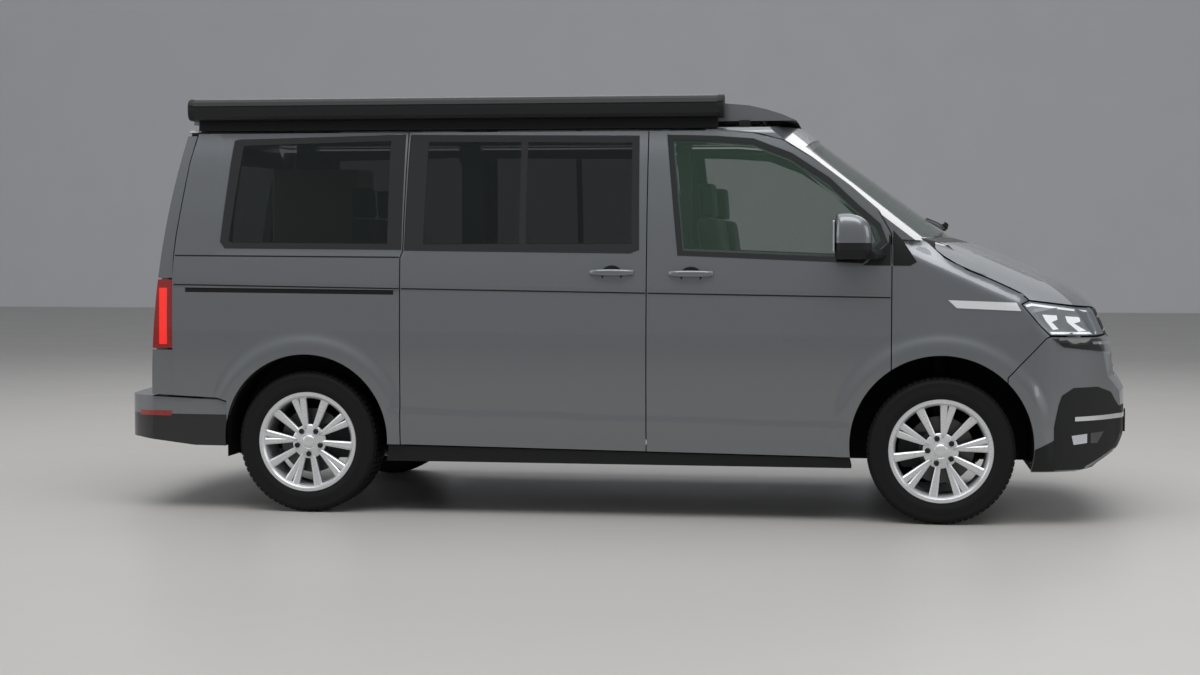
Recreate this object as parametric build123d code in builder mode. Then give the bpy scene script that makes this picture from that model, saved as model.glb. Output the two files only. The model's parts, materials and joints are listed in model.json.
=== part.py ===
"""A camper van with a rear-hinged pop-up roof, doors, tailgate, bonnet and steered front wheels.

Millimetres. +X is forward, +Y is the van's left and +Z is up. The origin is on the ground under the
middle of the overall box. Every shut line is an outline in side view, cut from two hollow forms: the
cabin and the nose.
"""

import math
import os

from build123d import *

# Overall sizes
overall_length = 4904
overall_height = 1990
width_over_mirrors = 2297
wheelbase = 3000
front_overhang = 910
half_length = overall_length / 2
mirror_tip_y = width_over_mirrors / 2
front_axle_x = half_length - front_overhang
rear_axle_x = front_axle_x - wheelbase

# Cross-section of the cabin: half widths and heights
roof_crown_z = 1862
cant_y = 838
cant_z = 1838
cant_radius = 40
glass_mid_y = 898
glass_mid_z = 1545
belt_y = 931
belt_z = 1270
swage_y = 940
swage_z = 470
sill_y = 915
sill_z = 255

# Lengthwise lines of the cabin
tail_rearmost_x = -2364
tail_rearmost_z = 600
tail_radius = 4200
tail_bow_radius = 3300
screen_top_x = 905
screen_top_z = 1850
screen_base_x = 1640
screen_base_z = 1314
screen_bow_half_width = 1100
screen_bow_depth = 190

# Walls and gaps
shut_gap = 8
half_gap = shut_gap / 2
flange = 20
wall = 65
roof_wall = 30
nose_wall = 34
skin = 24
rebate = 14
glass_recess = 11.2
glass_outer = 5
glass_inner = 11
glass_lip = 32
seat_clearance = 1
seat_gap = 0.2
housing_wall = 12
front_housing_y = 478
rear_housing_y = 658
floor_bottom_z = 430
floor_top_z = 480
rail_bottom_z = 330
rail_inner_y = 400
rail_outer_y = 470
rail_rear_x = -2240
rail_front_x = 2180
cross_member_depth = 60

# Shut lines in side view
door_rear_x = 181
door_front_x = 1313
door_bottom_z = 318
gutter_z = 1824
sliding_rear_x = -996
tail_line_x = -2122
tail_gap_top_z = 1815
roof_end_x = -2095
lamp_top_z = 1122
lamp_bottom_z = 783
bumper_line_z = 560
tail_half_width = 778
panel_inner_y = 772

# Wheels
tyre_radius = 340
tyre_half_width = 117.5
bead_half_width = 102.5
bead_radius = 217
rim_radius = 241
barrel_radius = 206
track = 1630
wheel_y = track / 2
front_arch_radius = 418
rear_arch_radius = 398
arch_z = tyre_radius + 25
steer_axis_y = 735
knuckle_foot_z = 206
disc_radius = 155
disc_thickness = 22
stub_radius = 25
stub_bore_radius = stub_radius + 0.2

# Number plates
carrier_half_width = 260
carrier_bottom_z = 385
carrier_top_z = 495
carrier_clearance = 0.3
plate_hole_spacing = 300
plate_hole_radius = 3
rear_plate_z = 900

# Nose
crown_slope = 0.42
crown_x = 1950
crown_z = 1238
nose_bow_radius = 2700
nose_start_x = 1240
bonnet_profile = [
    (1100, 1432), (1400, 1386), (1600, 1340), (1750, 1294), (1887, 1239), (2000, 1190), (2110, 1138),
    (2210, 1078), (2300, 1003), (2380, 915), (2460, 800),
]

os.makedirs("parts", exist_ok=True)


def save(part, label):
    """Label a finished piece and write its STEP file."""
    part.label = label
    export_step(part, f"parts/{label}.step")
    return part


def side_prism(outline, y_low, y_high, inset=0.0, arch=None):
    """Solid with this side view between two values of Y, its outline moved in by inset."""
    with BuildPart() as prism:
        with BuildSketch(Plane.XZ.offset(-y_high)):
            with BuildLine():
                Polyline(*outline, close=True)
            make_face()
            if inset:
                offset(amount=-inset, kind=Kind.INTERSECTION)
            if arch:
                with Locations((arch[0], arch_z)):
                    Circle(arch[1] + inset, mode=Mode.SUBTRACT)
        extrude(amount=y_high - y_low)
    return prism.part


def front_prism(outline, x_low, x_high, inset=0.0):
    """Solid with this front view, in (y, z), between two values of X."""
    with BuildPart() as prism:
        with BuildSketch(Plane.YZ.offset(x_low)):
            with BuildLine():
                Polyline(*outline, close=True)
            make_face()
            if inset:
                offset(amount=-inset, kind=Kind.INTERSECTION)
        extrude(amount=x_high - x_low)
    return prism.part


def block(x, y, z, radius=0.0):
    """Box between pairs of limits, with its upright edges rounded."""
    with BuildPart() as solid:
        with BuildSketch(Plane.XY.offset(z[0])):
            with Locations(((x[0] + x[1]) / 2, (y[0] + y[1]) / 2)):
                Rectangle(x[1] - x[0], y[1] - y[0])
        extrude(amount=z[1] - z[0])
        if radius:
            fillet(solid.edges().filter_by(Axis.Z), radius)
    return solid.part


def cylinder_y(x, z, radius, y_low, y_high, bore=0.0):
    """Cylinder or ring along Y."""
    with BuildPart() as solid:
        with BuildSketch(Plane.XZ.offset(-y_high)):
            with Locations((x, z)):
                Circle(radius)
                if bore:
                    Circle(bore, mode=Mode.SUBTRACT)
        extrude(amount=y_high - y_low)
    return solid.part


def combine(first, cut=(), keep=(), join=()):
    """The first solid plus those in join, limited to those in keep, less those in cut."""
    with BuildPart() as result:
        add(first)
        for solid in join:
            add(solid)
        for solid in keep:
            add(solid, mode=Mode.INTERSECT)
        for solid in cut:
            add(solid, mode=Mode.SUBTRACT)
    return result.part


def layer(prism, outer, inner):
    """The part of a prism that lies between two nested forms."""
    return combine(prism, keep=[outer], cut=[inner])


def other_side(part):
    """The mirror image across the van's middle plane."""
    return mirror(part, about=Plane.XZ)


def pair(part):
    """A piece on one side of the van together with its mirror image."""
    with BuildPart() as both:
        add(part)
        add(mirror(part, about=Plane.XZ))
    return both.part


def body_section(plane, length, inset):
    """Prism with the cabin's cross-section, its outline moved in by inset."""
    with BuildPart() as prism:
        with BuildSketch(plane) as section:
            with BuildLine():
                ThreePointArc((-cant_y, cant_z), (0, roof_crown_z), (cant_y, cant_z))
                for side in (1, -1):
                    upper = ThreePointArc(
                        (side * cant_y, cant_z), (side * glass_mid_y, glass_mid_z), (side * belt_y, belt_z)
                    )
                    lower = TangentArc(upper @ 1, (side * swage_y, swage_z), tangent=upper % 1)
                    Line(lower @ 1, (side * sill_y, sill_z))
                Line((-sill_y, sill_z), (sill_y, sill_z))
            make_face()
            if inset:
                offset(amount=-inset, kind=Kind.INTERSECTION)
            if inset < cant_radius:
                fillet([v for v in section.vertices() if v.Y > cant_z - inset - 5], cant_radius - inset)
        extrude(amount=length)
    return prism.part


def tail_x(z, inset=0.0):
    """X of the tailgate's middle line at a height."""
    radius = tail_radius - inset
    return tail_rearmost_x + tail_radius - math.sqrt(radius**2 - (z - tail_rearmost_z) ** 2)


def cabin_form(inset=0.0):
    """The cabin's closed form, with its faces moved in by inset."""
    with BuildPart() as form:
        add(body_section(Plane.YZ.offset(-half_length), 2 * half_length, inset))
        rake = Vector(screen_base_x - screen_top_x, 0, screen_base_z - screen_top_z).normalized()
        screen_plane = Plane(
            origin=(screen_top_x, 0, screen_top_z), x_dir=(0, 1, 0), z_dir=(rake.X, 0, rake.Z)
        )
        outward = 1 if screen_plane.y_dir.Z > 0 else -1
        with BuildSketch(screen_plane.offset(-3000)):
            with BuildLine():
                bow = ThreePointArc(
                    (-screen_bow_half_width, outward * -(screen_bow_depth + inset)),
                    (0, outward * -inset),
                    (screen_bow_half_width, outward * -(screen_bow_depth + inset)),
                )
                Polyline(
                    bow @ 1,
                    (screen_bow_half_width, outward * -6000),
                    (-screen_bow_half_width, outward * -6000),
                    bow @ 0,
                )
            make_face()
        extrude(amount=6000, mode=Mode.INTERSECT)
        axis_x = tail_rearmost_x + tail_bow_radius
        with BuildSketch(Plane.XZ):
            with BuildLine():
                tail = ThreePointArc(
                    (tail_x(100, inset), 100), (tail_x(1100, inset), 1100), (tail_x(1950, inset), 1950)
                )
                Polyline(tail @ 1, (axis_x, 1950), (axis_x, 100), tail @ 0)
            make_face()
        revolve(axis=Axis((axis_x, 0, 0), (0, 0, 1)), mode=Mode.INTERSECT)
    return form.part


def inset_points(points, inset):
    """Points of a falling profile, each moved square to the profile by inset."""
    moved = []
    for index, (x, z) in enumerate(points):
        before = points[max(index - 1, 0)]
        after = points[min(index + 1, len(points) - 1)]
        run, rise = after[0] - before[0], after[1] - before[1]
        length = math.hypot(run, rise)
        moved.append((x + inset * rise / length, z - inset * run / length))
    return moved


def nose_form(inset=0.0):
    """The closed form of wings, bonnet and bumper, with its faces moved in by inset."""
    axis_x = half_length - nose_bow_radius
    with BuildPart() as form:
        add(body_section(Plane.YZ.offset(nose_start_x), half_length - nose_start_x, inset))
        top_z = crown_z + crown_slope * (crown_x - nose_start_x)
        with BuildSketch(Plane.YZ.offset(nose_start_x)):
            with BuildLine():
                middle = ThreePointArc((-700, top_z - 58), (0, top_z), (700, top_z - 58))
                left = TangentArc(middle @ 1, (965, top_z - 322), tangent=middle % 1)
                right = ThreePointArc(
                    (-(left @ 1).X, (left @ 1).Y), (-(left @ 0.5).X, (left @ 0.5).Y), middle @ 0
                )
                Polyline(left @ 1, (965, -900), (-965, -900), right @ 0)
            make_face()
            if inset:
                offset(amount=-inset, kind=Kind.INTERSECTION)
        extrude(amount=1500, dir=(1, 0, -crown_slope), mode=Mode.INTERSECT)
        with BuildSketch(Plane.XY.offset(100)):
            with BuildLine():
                corner = ThreePointArc((1760, 965), (2130, 872), (2350, 655))
                facing = ThreePointArc((2350, -655), (2130, -872), (1760, -965))
                Polyline(corner @ 1, (2520, 470), (2520, -470), facing @ 0)
                Polyline(facing @ 1, (1200, -965), (1200, 965), corner @ 0)
            make_face()
            if inset:
                offset(amount=-inset, kind=Kind.INTERSECTION)
        extrude(amount=1500, mode=Mode.INTERSECT)
        with BuildSketch(Plane.XZ):
            with BuildLine():
                top = Spline(*inset_points(bonnet_profile, inset))
                Polyline(top @ 1, (top @ 1 - Vector(0, 1, 0) * 900), (axis_x, -60), (axis_x, 1500), top @ 0)
            make_face()
        revolve(axis=Axis((axis_x, 0, 0), (0, 0, 1)), mode=Mode.INTERSECT)
        with BuildSketch(Plane.XZ):
            with BuildLine():
                Polyline(
                    (2046, 1600), (2330, 960), (2385, 836), (2407, 680), (2447, 605), (half_length, 521),
                    (half_length, 400), (2425, 330), (2340, 262), (2250, 240), (axis_x, 240),
                    (axis_x, 1600), close=True,
                )
            make_face()
            if inset:
                offset(amount=-inset, kind=Kind.INTERSECTION)
        revolve(axis=Axis((axis_x, 0, 0), (0, 0, 1)), mode=Mode.INTERSECT)
    return form.part


# Hollow forms
cabin = {depth: cabin_form(depth) for depth in (0, glass_outer, glass_inner, glass_recess)}
cabin.update({depth: cabin_form(depth) for depth in (flange, wall, wall + 8)})
nose = {depth: nose_form(depth) for depth in (0, 8, skin, nose_wall)}
cabin_shell = combine(cabin[0], cut=[cabin[wall]])
outside = cabin_form(-20)

# Outlines in side view, (x, z)
front_arch = (front_axle_x, front_arch_radius)
rear_arch = (rear_axle_x, rear_arch_radius)
door_outline = [
    (door_rear_x, gutter_z), (493, gutter_z), (672, 1810), (806, 1777), (939, 1696), (1117, 1562),
    (1249, 1447), (1293, 1368), (1308, 1342), (door_front_x, 1195), (door_front_x, 330),
    (door_front_x, door_bottom_z - 15), (door_rear_x, door_bottom_z),
]
door_window = [
    (268, 1800), (494, 1793), (671, 1779), (848, 1711), (1026, 1595), (1157, 1470), (1248, 1385),
    (1278, 1300), (1181, 1205), (325, 1238),
]
sliding_outline = [
    (door_rear_x, gutter_z), (door_rear_x, door_bottom_z), (sliding_rear_x, door_bottom_z + 16),
    (sliding_rear_x, 1225), (-984, 1256), (-972, gutter_z),
]
sliding_window = [(-962, 1806), (138, 1797), (145, 1262), (-978, 1260)]
quarter_outline = [
    (-972, gutter_z), (-984, 1256), (sliding_rear_x, 1225), (sliding_rear_x, door_bottom_z + 16),
    (-1852, door_bottom_z + 16), (-1852, 534), (-1893, 547), (-2228, bumper_line_z),
    (-2500, bumper_line_z), (-2500, lamp_bottom_z), (tail_line_x, lamp_bottom_z),
    (tail_line_x, lamp_top_z), (-2115, 1235), (-2105, 1325), (-2050, 1683), (-2018, tail_gap_top_z),
    (-2018, gutter_z),
]
quarter_window = [(-1833, 1788), (-1878, 1300), (-1862, 1268), (-992, 1262), (-986, 1810), (-1805, 1794)]
tail_outline = [
    (roof_end_x, 1950), (roof_end_x, tail_gap_top_z), (-2018, tail_gap_top_z), (-2050, 1683),
    (-2105, 1325), (-2115, 1235), (-2118, lamp_top_z), (-2600, lamp_top_z), (-2600, 1950),
]
tail_lower_outline = [
    (-2200, lamp_top_z + 30), (-2200, bumper_line_z), (-2600, bumper_line_z), (-2600, lamp_top_z + 30),
]
lamp_outline = [
    (tail_line_x, lamp_top_z), (tail_line_x, lamp_bottom_z), (-2600, lamp_bottom_z), (-2600, lamp_top_z),
]
sill_outline = [(-1100, 334), (-1100, 240), (1160, 240), (1160, 305), (door_rear_x, 318), (-996, 334)]
bonnet_line = [
    (1483, 1294), (1551, 1230), (1649, 1176), (1746, 1137), (1843, 1093), (1901, 1064), (1931, 1035),
    (2219, 1000), (2460, 990),
]
bonnet_outline = [(1400, 1400), (1400, 1340)] + bonnet_line + [(2460, 1500), (1400, 1500)]
wing_outline = [
    (door_front_x, 1340), (1356, 1309), (1470, 1304), (1483, 1294), (1551, 1230), (1649, 1176),
    (1746, 1137), (1843, 1093), (1901, 1064), (1931, 1035), (1897, 1020), (1980, 922), (2029, 873),
    (2010, 863), (1838, 684), (1838, 365), (door_front_x, 365),
]
headlamp_outline = [(1931, 1035), (1897, 1020), (1980, 922), (2029, 873), (2460, 865), (2460, 990), (2219, 1000)]
bumper_outline = [
    (1838, 230), (1838, 684), (2010, 863), (2029, 873), (2460, 865), (2460, 230),
]
grille_outline = [(-480, 986), (480, 986), (505, 868), (505, 668), (-505, 668), (-505, 868)]
intake_outline = [(-520, 500), (520, 500), (470, 310), (-470, 310)]


def glazed(panel, window, y_range):
    """A panel with a recess for a bonded window and a hole behind the glass."""
    recess = layer(side_prism(window, *y_range), outside, cabin[glass_recess])
    hole = side_prism(window, *y_range, inset=glass_lip)
    return combine(panel, cut=[recess, hole])


def pane(window, y_range):
    """The sheet of glass that fills a window."""
    return layer(side_prism(window, *y_range, inset=seat_clearance), cabin[glass_outer], cabin[glass_inner])


left = (panel_inner_y, 1200)
right = (-1200, -panel_inner_y)

# Front doors
door_flange = layer(
    side_prism(door_outline, *left, inset=half_gap, arch=front_arch), cabin[0], cabin[flange]
)
door_lining = layer(
    side_prism(door_outline, *left, inset=half_gap + rebate, arch=front_arch), cabin[flange], cabin[wall]
)
front_door_left = glazed(combine(door_flange, join=[door_lining]), door_window, left)
front_door_glass_left = pane(door_window, left)
save(front_door_left, "front_door_left")
save(other_side(front_door_left), "front_door_right")
save(front_door_glass_left, "front_door_glass_left")
save(other_side(front_door_glass_left), "front_door_glass_right")

# Mirrors
mirror_housing = block((1066, 1200), (985, mirror_tip_y), (1236, 1428), 34)
mirror_stalk = block((1140, 1262), (900, 1000), (1226, 1290))
mirror_left = combine(mirror_housing, join=[mirror_stalk], cut=[cabin[0]])
save(mirror_left, "mirror_left")
save(other_side(mirror_left), "mirror_right")

# Right side
sliding_door = glazed(
    layer(side_prism(sliding_outline, *right, inset=half_gap), cabin[0], cabin[wall]), sliding_window, right
)
save(sliding_door, "sliding_door")
save(pane(sliding_window, right), "sliding_door_glass")
quarter_keep = side_prism(quarter_outline, *right, inset=half_gap, arch=rear_arch)
tail_clear = block((-2600, -2200), (-tail_half_width, tail_half_width), (0, 2000))
quarter_shell = combine(layer(quarter_keep, cabin[0], cabin[wall]), cut=[tail_clear])
quarter_panel_right = glazed(quarter_shell, quarter_window, right)
save(quarter_panel_right, "quarter_panel_right")
save(pane(quarter_window, right), "quarter_glass_right")

# Left side, one panel behind the door
side_outline_left = (
    [(door_rear_x, gutter_z), (door_rear_x, door_bottom_z)] + quarter_outline[3:]
)
side_keep = side_prism(side_outline_left, *left, inset=half_gap, arch=rear_arch)
side_panel_left = combine(layer(side_keep, cabin[0], cabin[wall]), cut=[tail_clear])
side_panel_left = glazed(glazed(side_panel_left, sliding_window, left), quarter_window, left)
save(side_panel_left, "side_panel_left")
with BuildPart() as side_glass_left:
    add(pane(sliding_window, left))
    add(pane(quarter_window, left))
save(side_glass_left.part, "side_glass_left")

# Tailgate
tail_lining = cabin_form(55)
tail_upper = layer(side_prism(tail_outline, -1200, 1200, inset=half_gap), cabin[0], tail_lining)
tail_lower = layer(
    side_prism(tail_lower_outline, -tail_half_width + shut_gap, tail_half_width - shut_gap, inset=half_gap),
    cabin[0], tail_lining,
)
tail_window_outline = [(-725, 1745), (725, 1745), (775, 1185), (-775, 1185)]
tail_hole = front_prism(tail_window_outline, -2600, -2060, inset=glass_lip)
tail_recess = layer(front_prism(tail_window_outline, -2600, -2060), outside, cabin[glass_recess])
roof_strip = block((roof_end_x - half_gap, -1990), (-panel_inner_y, panel_inner_y), (1700, 1900))
with BuildPart() as plate_holes:
    with BuildSketch(Plane.YZ.offset(tail_rearmost_x - wall)):
        with Locations((plate_hole_spacing / 2, rear_plate_z), (-plate_hole_spacing / 2, rear_plate_z)):
            Circle(plate_hole_radius)
    extrude(amount=300)
tailgate = combine(
    tail_upper, join=[tail_lower], cut=[roof_strip, tail_recess, tail_hole, plate_holes.part]
)
save(tailgate, "tailgate")
tail_pane = layer(
    front_prism(tail_window_outline, -2600, -2060, inset=seat_clearance), cabin[glass_outer], cabin[glass_inner]
)
save(tail_pane, "tailgate_glass")

# Tail lamps
seated_lamp_outline = [
    (tail_line_x + shut_gap, lamp_top_z), (tail_line_x + shut_gap, lamp_bottom_z), *lamp_outline[2:],
]
lamp_left = layer(
    side_prism(seated_lamp_outline, tail_half_width, 1200, inset=half_gap), cabin[0], cabin_form(90)
)
save(pair(lamp_left), "tail_lamps")

# Structure: roof deck, pillars and bulkhead
screen_rake = math.atan2(screen_top_z - screen_base_z, screen_base_x - screen_top_x)
screen_frame = Plane(
    origin=(screen_top_x, 0, screen_top_z),
    x_dir=(0, 1, 0),
    z_dir=(math.sin(screen_rake), 0, math.cos(screen_rake)),
)
down = -1 if screen_frame.y_dir.Z > 0 else 1


def screen_prism(inset):
    """Prism square to the windscreen with the outline of its glass."""
    with BuildPart() as prism:
        with BuildSketch(screen_frame.offset(-300)):
            with BuildLine():
                Polyline(
                    (-715, down * 62), (715, down * 62), (822, down * 752), (500, down * 855),
                    (0, down * 886), (-500, down * 855), (-822, down * 752), close=True,
                )
            make_face()
            if inset:
                offset(amount=-inset, kind=Kind.INTERSECTION)
        extrude(amount=500)
    return prism.part


front_zone = [
    (door_front_x - 8, -100), (door_front_x + half_gap, 1345), (1356, 1313), (1470, 1308), (2600, 1308),
    (2600, -100),
]
frame_cutters = [
    side_prism(door_outline, -1200, 1200, inset=-half_gap),
    side_prism(sliding_outline, -1200, 1200, inset=-half_gap),
    side_prism(quarter_outline[:-1] + [(-2018, gutter_z)], -1200, 1200, inset=-half_gap),
    side_prism(front_zone, -1200, 1200),
    block((-2600, roof_end_x + half_gap), (-1200, 1200), (0, 2000)),
    block((-2600, -1900), (-1200, 1200), (0, gutter_z + half_gap)),
    block((-2600, 1312), (-1200, 1200), (0, 400)),
    block((-2600, -1830), (-1200, 1200), (0, 620)),
    block((-2060, 780), (-760, 760), (1600, roof_crown_z - roof_wall)),
    block((-1400, 700), (-560, 560), (1600, 2000)),
    layer(screen_prism(0), outside, cabin[glass_recess]),
    screen_prism(glass_lip),
]
post = combine(cabin[wall + 8], keep=[block((120, 242), (760, 1000), (480, 1900))])
post_head = block((120, 242), (690, 764), (1740, 1838))
rear_post = combine(cabin[wall], keep=[block((-1056, -936), (760, 1000), (480, 1900))])
rear_post_head = block((-1056, -936), (690, 764), (1740, 1838))
tail_post = combine(cabin[wall], keep=[block((-1990, -1880), (760, 1000), (480, 1900))])
tail_post_head = block((-1990, -1880), (690, 764), (1740, 1838))
hinge_post = combine(cabin[wall + 8], keep=[block((1322, 1430), (775, 822), (800, 1296))])
bulkhead = block((1420, 1445), (-770, 770), (440, 1312))
front_housing_room = pair(
    cylinder_y(front_axle_x, arch_z, front_arch_radius + housing_wall + seat_gap, front_housing_y - seat_gap, 1000)
)
rear_housing_room = pair(
    cylinder_y(rear_axle_x, arch_z, rear_arch_radius + housing_wall + seat_gap, rear_housing_y - seat_gap, 1000)
)
posts = combine(post, join=[post_head, rear_post, rear_post_head, tail_post, tail_post_head, hinge_post])
roof_and_pillars = combine(cabin_shell, cut=frame_cutters)
body_frame = combine(
    roof_and_pillars, join=[combine(bulkhead, cut=[front_housing_room]), posts, other_side(posts)]
)
save(body_frame, "body_frame")
save(layer(screen_prism(seat_clearance), cabin[glass_outer], cabin[glass_inner]), "windscreen")

# Sills
sill_keep = side_prism(sill_outline, 780, 1200, inset=half_gap, arch=front_arch)
rear_arch_cutter = cylinder_y(rear_axle_x, arch_z, rear_arch_radius + half_gap, 300, 1200)
save(pair(combine(layer(sill_keep, cabin[0], cabin[wall]), cut=[rear_arch_cutter])), "sills")

# Nose panels
wing_left = layer(
    side_prism(wing_outline, 300, 1200, inset=half_gap, arch=front_arch), nose[0], nose[nose_wall]
)
save(wing_left, "front_wing_left")
save(other_side(wing_left), "front_wing_right")
bonnet = combine(
    layer(side_prism(bonnet_outline, -1200, 1200, inset=half_gap), nose[0], nose[skin]), cut=[cabin_form(-44)]
)
save(bonnet, "bonnet")
cowl = combine(
    block((1440, 1720), (-1000, 1000), (1240, 1400)),
    keep=[nose[8], cabin_form(-36)],
    cut=[nose[nose_wall], cabin[0], side_prism(wing_outline, -1200, 1200)],
)
save(cowl, "cowl")


def bumper_edge_z(x):
    """Height of the shut line over the front bumper."""
    return 873 - (x - 2029) * 8 / 431


with BuildPart() as lamp_room:
    with BuildSketch(Plane.XY.offset(700)):
        with BuildLine():
            Polyline((1700, 862), (1960, 835), (2110, 770), (2215, 640), (2250, 300), (1700, 300), close=True)
        make_face()
    extrude(amount=500)
lamp_foot = side_prism(
    [(x, bumper_edge_z(x) - half_gap + seat_gap) for x in (2110, 2170)] + [(2170, 890), (2110, 890)], 800, 845
)
headlamp = combine(
    side_prism(headlamp_outline, 520, 1200, inset=half_gap), join=[lamp_foot], keep=[nose[8]],
    cut=[lamp_room.part],
)
save(pair(headlamp), "headlamps")
grille_opening = front_prism(grille_outline, 2000, 2600)
intake_opening = front_prism(intake_outline, 2000, 2600)
front_arch_cutter = pair(cylinder_y(front_axle_x, arch_z, front_arch_radius + half_gap, 300, 1200))
bumper_bracket = block((rail_front_x + seat_gap, 2600), (rail_inner_y, rail_outer_y), (530, 600))
front_bumper = combine(
    layer(side_prism(bumper_outline, -1200, 1200, inset=half_gap), nose[0], nose[nose_wall]),
    join=[combine(pair(bumper_bracket), keep=[nose[8]])],
    cut=[grille_opening, intake_opening, front_arch_cutter],
)
save(front_bumper, "front_bumper")
carrier_pocket = block(
    (2300, 2600), (-carrier_half_width - carrier_clearance, carrier_half_width + carrier_clearance),
    (carrier_bottom_z - carrier_clearance, carrier_top_z + carrier_clearance),
)
upper_grille = layer(front_prism(grille_outline, 2000, 2600, inset=seat_gap), nose[8], nose[nose_wall])
lower_grille = layer(front_prism(intake_outline, 2000, 2600, inset=seat_gap), nose[8], nose[nose_wall])
with BuildPart() as grille:
    add(upper_grille)
    add(combine(lower_grille, cut=[carrier_pocket]))
save(grille.part, "grille")
with BuildPart() as plate_carrier:
    with BuildSketch(Plane.YZ.offset(half_length - 34)):
        with Locations((0, (carrier_bottom_z + carrier_top_z) / 2)):
            Rectangle(2 * carrier_half_width, carrier_top_z - carrier_bottom_z)
            with Locations((plate_hole_spacing / 2, 0), (-plate_hole_spacing / 2, 0)):
                Circle(plate_hole_radius, mode=Mode.SUBTRACT)
    extrude(amount=28)
save(plate_carrier.part, "plate_carrier")

# Rear bumper


def bumper_prism(inset, z_low, z_high):
    """Prism with the rear bumper's plan outline."""
    with BuildPart() as prism:
        with BuildSketch(Plane.XY.offset(z_low)):
            with BuildLine():
                middle = ThreePointArc((-2385, -760), (-half_length, 0), (-2385, 760))
                left_corner = TangentArc(middle @ 1, (-2230, 925), tangent=middle % 1)
                right_corner = ThreePointArc(
                    (-2230, -925), ((left_corner @ 0.5).X, -(left_corner @ 0.5).Y), middle @ 0
                )
                Polyline(left_corner @ 1, (-1850, 946), (-1850, -946), right_corner @ 0)
            make_face()
            if inset:
                offset(amount=-inset, kind=Kind.INTERSECTION)
        extrude(amount=z_high - z_low)
    return prism.part


rear_bumper = combine(
    bumper_prism(0, 318, bumper_line_z - half_gap),
    cut=[
        bumper_prism(40, 300, 536), bumper_prism(100, 500, 600),
        block((-2100, -1700), (-900, 900), (300, 600)),
        side_prism(
            [(-1700, 280), (-1848, 300), (-2032, 320), (-2311, 352), (-2500, 352), (-2500, 280)], -1200, 1200
        ),
        side_prism(
            [(-2228, 552), (-1893, 539), (-1852, 526), (-1700, 526), (-1700, 700), (-2228, 700)], -1200, 1200
        ),
        pair(cylinder_y(rear_axle_x, arch_z, rear_arch_radius + half_gap, 300, 1200)),
    ],
)
save(rear_bumper, "rear_bumper")

# Floor, chassis members, wheel housings and running gear
floor = block((-2260, 1420), (-858, 858), (floor_bottom_z, floor_top_z))
save(combine(floor, cut=[front_housing_room, rear_housing_room]), "floor_pan")
rail_y = (rail_inner_y, rail_outer_y)
rail_z = (rail_bottom_z, floor_bottom_z)
save(pair(block((rail_rear_x, rail_front_x), rail_y, rail_z)), "chassis_rails")
with BuildPart() as chassis_members:
    for x in (rail_rear_x, rail_front_x - cross_member_depth):
        add(block((x, x + cross_member_depth), (-rail_inner_y, rail_inner_y), rail_z))
    for x in (-850, 0, 850):
        add(pair(block((x - 30, x + 30), (rail_outer_y, 780), (275, floor_bottom_z))))
save(chassis_members.part, "chassis_members")
save(pair(block((rail_front_x - cross_member_depth, rail_front_x), rail_y, (floor_bottom_z, 600))), "bumper_towers")


def housing(x, radius, y_low, y_high):
    """Wheel housing: an upper half tube closed on its inner side."""
    tube = cylinder_y(x, arch_z, radius + housing_wall, y_low, y_high)
    hollow = cylinder_y(x, arch_z, radius, y_low + housing_wall, y_high + 50)
    return combine(tube, cut=[hollow, block((x - 600, x + 600), (y_low - 10, y_high + 60), (-200, arch_z))])


front_housing = housing(front_axle_x, front_arch_radius, front_housing_y, 1000)
housing_limits = combine(nose[nose_wall], keep=[block((1330, 2600), (840, 1100), (0, 2000))])
inner_limits = block((900, 2600), (400, 854), (0, 2000))
with BuildPart() as wheel_housings:
    add(pair(combine(front_housing, keep=[combine(inner_limits, join=[housing_limits])])))
    add(pair(combine(housing(rear_axle_x, rear_arch_radius, rear_housing_y, 1000), keep=[cabin[wall]])))
save(wheel_housings.part, "wheel_housings")

engine = block((1560, 2080), (-330, 330), (440, 960), 30)
save(engine, "engine_block")
save(block((-700, 100), (-380, 120), (270, 430), 30), "fuel_tank")
with BuildPart() as exhaust:
    with BuildSketch(Plane.YZ.offset(-2150)):
        with Locations((250, 215)):
            SlotOverall(300, 110)
    extrude(amount=620)
    with BuildSketch(Plane.YZ.offset(-1540)):
        with Locations((250, 205)):
            Circle(28)
    extrude(amount=2940)
    for hanger_x in (-1900, -200, 1100):
        add(block((hanger_x - 12, hanger_x + 12), (238, 262), (215, 430)))
save(exhaust.part, "exhaust")

arm_inner_y = 330
front_arm = combine(
    side_prism([(1480, 172), (1604, 172), (1604, 200), (1480, 200)], arm_inner_y, 540),
    join=[side_prism([(1512, 172), (1572, 172), (1572, 200), (1512, 200)], 530, 760)],
)
with BuildPart() as ball_joint:
    with BuildSketch(Plane.XY.offset(195)):
        with Locations((front_axle_x, steer_axis_y)):
            Circle(16)
    extrude(amount=knuckle_foot_z - seat_gap - 195)
front_subframe = combine(
    block((1440, 1650), (-360, 360), (160, 260), 20),
    join=[
        pair(combine(front_arm, join=[ball_joint.part])), block((1450, 1640), (-470, 470), (240, 330)),
        block((1580, 1640), (-300, 300), (320, 440)),
    ],
)
save(front_subframe, "front_subframe")
with BuildPart() as struts:
    with BuildSketch(Plane.XY.offset(570)):
        with Locations((front_axle_x, 610), (front_axle_x, -610)):
            Circle(42)
    extrude(amount=300)
    add(cylinder_y(front_axle_x, arch_z, front_arch_radius - seat_gap, -800, 800), mode=Mode.INTERSECT)
save(struts.part, "front_struts")


def bearing_ring(x, y_inner, y_outer):
    """Bearing housing round a wheel's stub."""
    return cylinder_y(x, tyre_radius, 58, y_inner, y_outer, bore=stub_bore_radius)


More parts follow.
